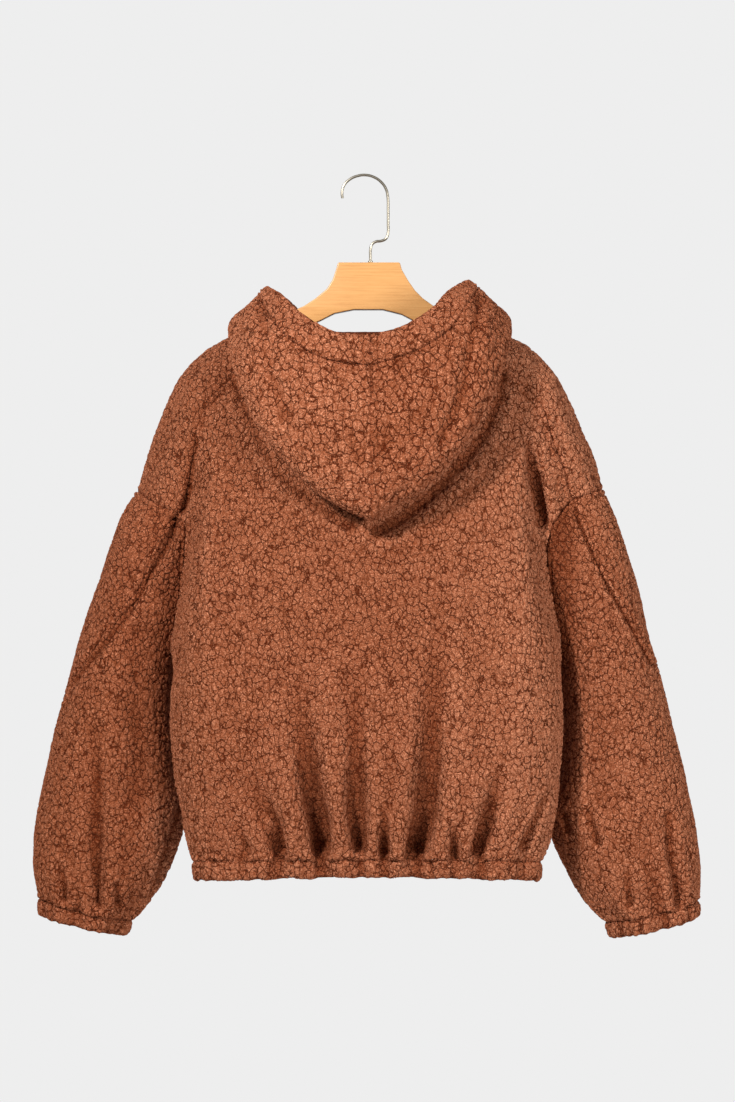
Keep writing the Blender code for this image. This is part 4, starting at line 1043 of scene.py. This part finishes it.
def neck_edge(side, share):
    """The neck seam from the middle of the back (0) to the centre front (1)."""
    share = np.asarray(share, float)
    across = 0.5 + side * (0.5 - NECK_SHARE) * np.clip(share / 0.5, 0, 1)
    at_back = back_surface(across, BACK_TOP)
    at_front = front_surface(side, 1.0, SEAM - NECK_STATIONS * np.clip((share - 0.5) / 0.5, 0, 1))
    return np.where((share <= 0.5)[..., None], at_back, at_front)


def hood_surface(side, share, arc):
    """Point of a hood half; share 0 at the centre seam to 1 in front, arc 0 neck to 1 rim."""
    share, arc = np.broadcast_arrays(np.asarray(share, float), np.asarray(arc, float))
    casing = HOOD_CASING_SHARE * (0.88 + 0.30 * soft_step(share / 0.4))
    seam = 1 - 2 * HOOD_CASING_SHARE
    arc = np.where(arc < seam, arc / seam * (1 - 2 * casing), 1 - (1 - arc) * casing / HOOD_CASING_SHARE)
    values = np.moveaxis(along(HOOD_ARCS, np.interp(share, HOOD_SHARES, range(len(HOOD_SHARES)))), -1, 0)
    rise, reach, fold_y, rim_y, inner_y, outer_y = values[:6]
    fold_x, fold_z, rim_x, rim_z = values[6:10] if side == LEFT else values[10:14]
    neck = neck_edge(side, share)
    outward = (neck - (MID_X, 0.004, 0)) * (1, 1, 0)
    outward /= np.linalg.norm(outward, axis=-1, keepdims=True)
    roll = neck + outward * reach[..., None]
    roll[..., 2] += rise
    fold = np.stack([fold_x, fold_y, fold_z], -1)
    rim = np.stack([rim_x, rim_y, rim_z], -1)
    inner = neck * 0.45 + fold * 0.55
    inner[..., 1] = inner_y
    raised = 0.006 * soft_step((share - 0.5) / 0.1) * (1 - soft_step((share - 0.85) / 0.1))
    inner[..., 2] += raised
    lean = 0.12 * soft_step((share - 0.42) / 0.12) * (1 - soft_step((share - 0.7) / 0.25))
    outer = fold * (0.52 - lean)[..., None] + rim * (0.48 + lean)[..., None]
    outer[..., 1] = outer_y
    outer[..., 0] += side * 0.014 * np.sin(math.pi * np.clip(share / 0.6, 0, 1))
    stations = np.stack([neck, roll, inner, fold, outer, rim])
    place = arc * 5
    index = np.minimum(place.astype(int), 4)
    part = (place - index)[..., None]

    def station(number):
        return np.take_along_axis(stations, np.clip(number, 0, 5)[None, ..., None], 0)[0]

    def unit(vector):
        return vector / np.maximum(np.linalg.norm(vector, axis=-1, keepdims=True), 1e-9)

    before, here, after, later = (station(index + step) for step in (-1, 0, 1, 2))
    chord = np.linalg.norm(after - here, axis=-1, keepdims=True)
    leave = unit(unit(here - before) + unit(after - here)) * chord
    arrive = unit(unit(after - here) + unit(later - after)) * chord
    square, cube = part ** 2, part ** 3
    return ((2 * cube - 3 * square + 1) * here + (cube - 2 * square + part) * leave
            + (3 * square - 2 * cube) * after + (cube - square) * arrive)


# Soft valleys of the hood's outer layer, as BACK_CREASES
HOOD_CREASES = (
    (3, 3.5, 8, 10, ((-117, -160), (-113, -200), (-105, -235), (-90, -280))),
    (4.5, 3, 6, 9, ((130, -150), (119, -190), (110, -250), (88, -305))),
    (0, 3.5, 6, 6, ((68, -330), (56, -355), (33, -375))),
    (1, 2, 10, 8, ((-30, -235), (-22, -280), (-8, -330))),
    (1, 1.5, 10, 10, ((35, -225), (30, -270), (22, -320))),
)
HOOD_TIP = {LEFT: (-0.1025, -0.1341), RIGHT: (0.1177, -0.1273)}     # the rim's highest places: x, z
TIP_WIDTH, TIP_SMOOTHINGS = 0.026, 90


def hood_of(side, arcs, count, plump=0.0):
    """A hood half or its casing, with rounded tips and, on the casing, a plump rim."""
    points = spread(lambda share, arc: hood_surface(side, share, arc), count, arcs)
    outward = outward_of(points, side == LEFT)
    outer_layer = np.clip((arcs - 0.62) / 0.05, 0, 1)[None, :] * (points[..., 1] < 0.0)
    sunk = creases(HOOD_CREASES, points[..., 0], points[..., 2]) * outer_layer
    tip_x, tip_z = HOOD_TIP[side]
    peak = np.exp(-((points[..., 0] - tip_x) ** 2 + (points[..., 2] - tip_z) ** 2) / TIP_WIDTH ** 2)
    sunk = sunk - plump * (1 - 0.8 * peak) * np.sin(math.pi * np.linspace(0.05, 0.95, len(arcs))) ** 0.7
    sunk = sunk - 0.0030 * peak
    for _ in range(TIP_SMOOTHINGS):
        middle = (points[2:] + points[:-2]) / 2
        points[1:-1] += 0.5 * peak[1:-1, :, None] * (middle - points[1:-1])
    if plump:
        past = points[:, -1] - points[:, -4]
        past = past / np.linalg.norm(past, axis=-1, keepdims=True)
        points = points + (0.0012 * peak * np.linspace(0, 1, len(arcs)))[..., None] * past[:, None, :]
    return points - outward * sunk[..., None]


for side, word in ((LEFT, "left"), (RIGHT, "right")):
    seam = 1 - 2 * HOOD_CASING_SHARE
    arcs = even_rows(lambda share, arc: hood_surface(side, share, arc), 0.15, 0.0, seam, 225)
    # Painted light on the left hood half; painted shade on the right half and its casing.
    cloth_piece("hood_panel_" + word, hood_of(side, arcs, 180), side == LEFT, CLOTH, (2, 1, 1, 1),
                ("hood_" + word,), (0.535, 0.455), 0.075, ["back_panel", "front_panel_" + word],
                -0.1 if side == LEFT else 0.25, 1.2)
    points = hood_of(side, np.linspace(seam, 1, 16), 180, 0.0055)
    cloth_piece("hood_rim_" + word, points, side == LEFT, CASING, (2, 1, 1, 0),
                ("hood_casing_" + word,), (0.40, 0.04), 0.0084, ["hood_panel_" + word],
                0.0 if side == LEFT else 0.15, 1.2)

# ---------------------------------------------------------------- zip
# Down the hidden front: the tapes keep the CAD's form and get a woven look, the chain becomes two
# rows of cast teeth and the slider a rounded body with a bridge.
CHAIN_Z = (-0.8015, -0.2195)
TOOTH_PITCH = 0.00125       # between a tooth and the next one of the other row
TOOTH_SIZE = (0.0034, 0.0022, 0.0012)
TOOTH_ASIDE = 0.0011        # from the middle of the chain to the middle of a tooth
TEETH_SUNK = 0.0015         # how far the teeth's middles lie below the fronts' outer face
SLIDER_Z = -0.22525
SLIDER_TAPER = 0.72         # width of its lower end
# The slider's body and bridge: size, how far out, how far up, rounding of the edges
SLIDER_BLOCKS = (
    ((0.0066, 0.0017, 0.0095), 0.00075, 0.0, 0.0006),
    ((0.0016, 0.0010, 0.0060), 0.00190, 0.0004, 0.0004),
)
zip_line = [(FRONT_MIDDLE[0][0], FRONT_MIDDLE[0][1] - HEM_HEIGHT)] + list(FRONT_MIDDLE)
zip_line += [(row[4], row[5]) for row in FRONT_UPPER[:3]]
zip_line += [tuple(hood_surface(LEFT, 1.0, arc)[1:]) for arc in (0.12, 0.3, 0.5, 0.7, 1)]
zip_line = np.array(zip_line)


def on_zip(z):
    """Place on the closed fronts at a height, with the directions up along them and out."""
    y = np.interp(z, zip_line[:, 1], zip_line[:, 0])
    slope = (np.interp(z + 0.006, zip_line[:, 1], zip_line[:, 0])
             - np.interp(z - 0.006, zip_line[:, 1], zip_line[:, 0])) / 0.012
    long = math.hypot(1, slope)
    return np.array((MID_X, y, z)), np.array((0, slope, 1)) / long, np.array((0, 1, -slope)) / long


nickel = material("nickel", {"Base Color": (0.66, 0.65, 0.62, 1), "Metallic": 1.0})
(0.22 + 0.26 * on_object(nickel).noise(900.0, 2.0)).into("Roughness")


def box(size):
    bpy.ops.mesh.primitive_cube_add(size=1.0)
    made = bpy.context.object
    made.scale = size
    bpy.ops.object.transform_apply(location=False, rotation=False, scale=True)
    return made


tooth = box(TOOTH_SIZE)
round_edges(tooth, 0.00035, 1, 30)
tooth_points = np.array([vertex.co[:] for vertex in tooth.data.vertices])
tooth_faces = [list(face.vertices) for face in tooth.data.polygons]
bpy.data.objects.remove(tooth)
chain_points, chain_faces = [], []
for number, z in enumerate(np.arange(*CHAIN_Z, TOOTH_PITCH)):
    centre, up, out = on_zip(z)
    centre = centre - out * TEETH_SUNK + np.array((TOOTH_ASIDE if number % 2 else -TOOTH_ASIDE, 0, 0))
    chain_faces += [[corner + len(chain_points) for corner in face] for face in tooth_faces]
    chain_points += (centre + tooth_points[:, :1] * (1, 0, 0) + tooth_points[:, 1:2] * out
                     + tooth_points[:, 2:] * up).tolist()
chain_mesh = bpy.data.meshes.new("zip_teeth")
chain_mesh.from_pydata(chain_points, [], chain_faces)
teeth = bpy.data.objects.new("zip_teeth", chain_mesh)
bpy.context.scene.collection.objects.link(teeth)
teeth.data.materials.append(nickel)
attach(teeth, "root")
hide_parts("zip_chain")

slider_parts = []
centre, up, out = on_zip(SLIDER_Z)
for size, outward_by, up_by, edge in SLIDER_BLOCKS:
    block = box(size)
    for vertex in block.data.vertices:
        if vertex.co.z < 0:
            vertex.co.x *= SLIDER_TAPER
    round_edges(block, edge, 3, 30)
    block.rotation_euler = (-math.atan2(up[1], up[2]), 0, 0)
    block.location = centre + out * outward_by + up * up_by
    bpy.ops.object.transform_apply(location=True, rotation=True, scale=True)
    slider_parts.append(block)
bpy.ops.object.select_all(action="DESELECT")
for block in slider_parts:
    block.select_set(True)
bpy.context.view_layer.objects.active = slider_parts[0]
bpy.ops.object.join()
slider = bpy.context.object
slider.name = "zip_slider_body"
bpy.ops.object.shade_smooth_by_angle(angle=math.radians(35))
slider.data.materials.append(nickel)
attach(slider, "root")
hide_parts("zip_slider")

woven = material("woven_tape", {"Roughness": 0.85, "Specular IOR Level": 0.1})
woven_place = on_object(woven)
checks = woven_place.node("ShaderNodeTexChecker", 1, {}, {"Vector": woven_place, "Scale": 1300.0})
yarns = 0.45 * checks + 0.55 * woven_place.noise(700.0, 3.0)
yarns.ramp((0.20, (0.075, 0.020, 0.009)), (0.80, (0.235, 0.080, 0.042))).into("Base Color")
yarns.bump(0.6, 0.0003).into("Normal")
for word in ("left", "right"):
    tape = bpy.data.objects["zip_tape_" + word]
    for place_in_list in tape.material_slots:
        place_in_list.material = woven
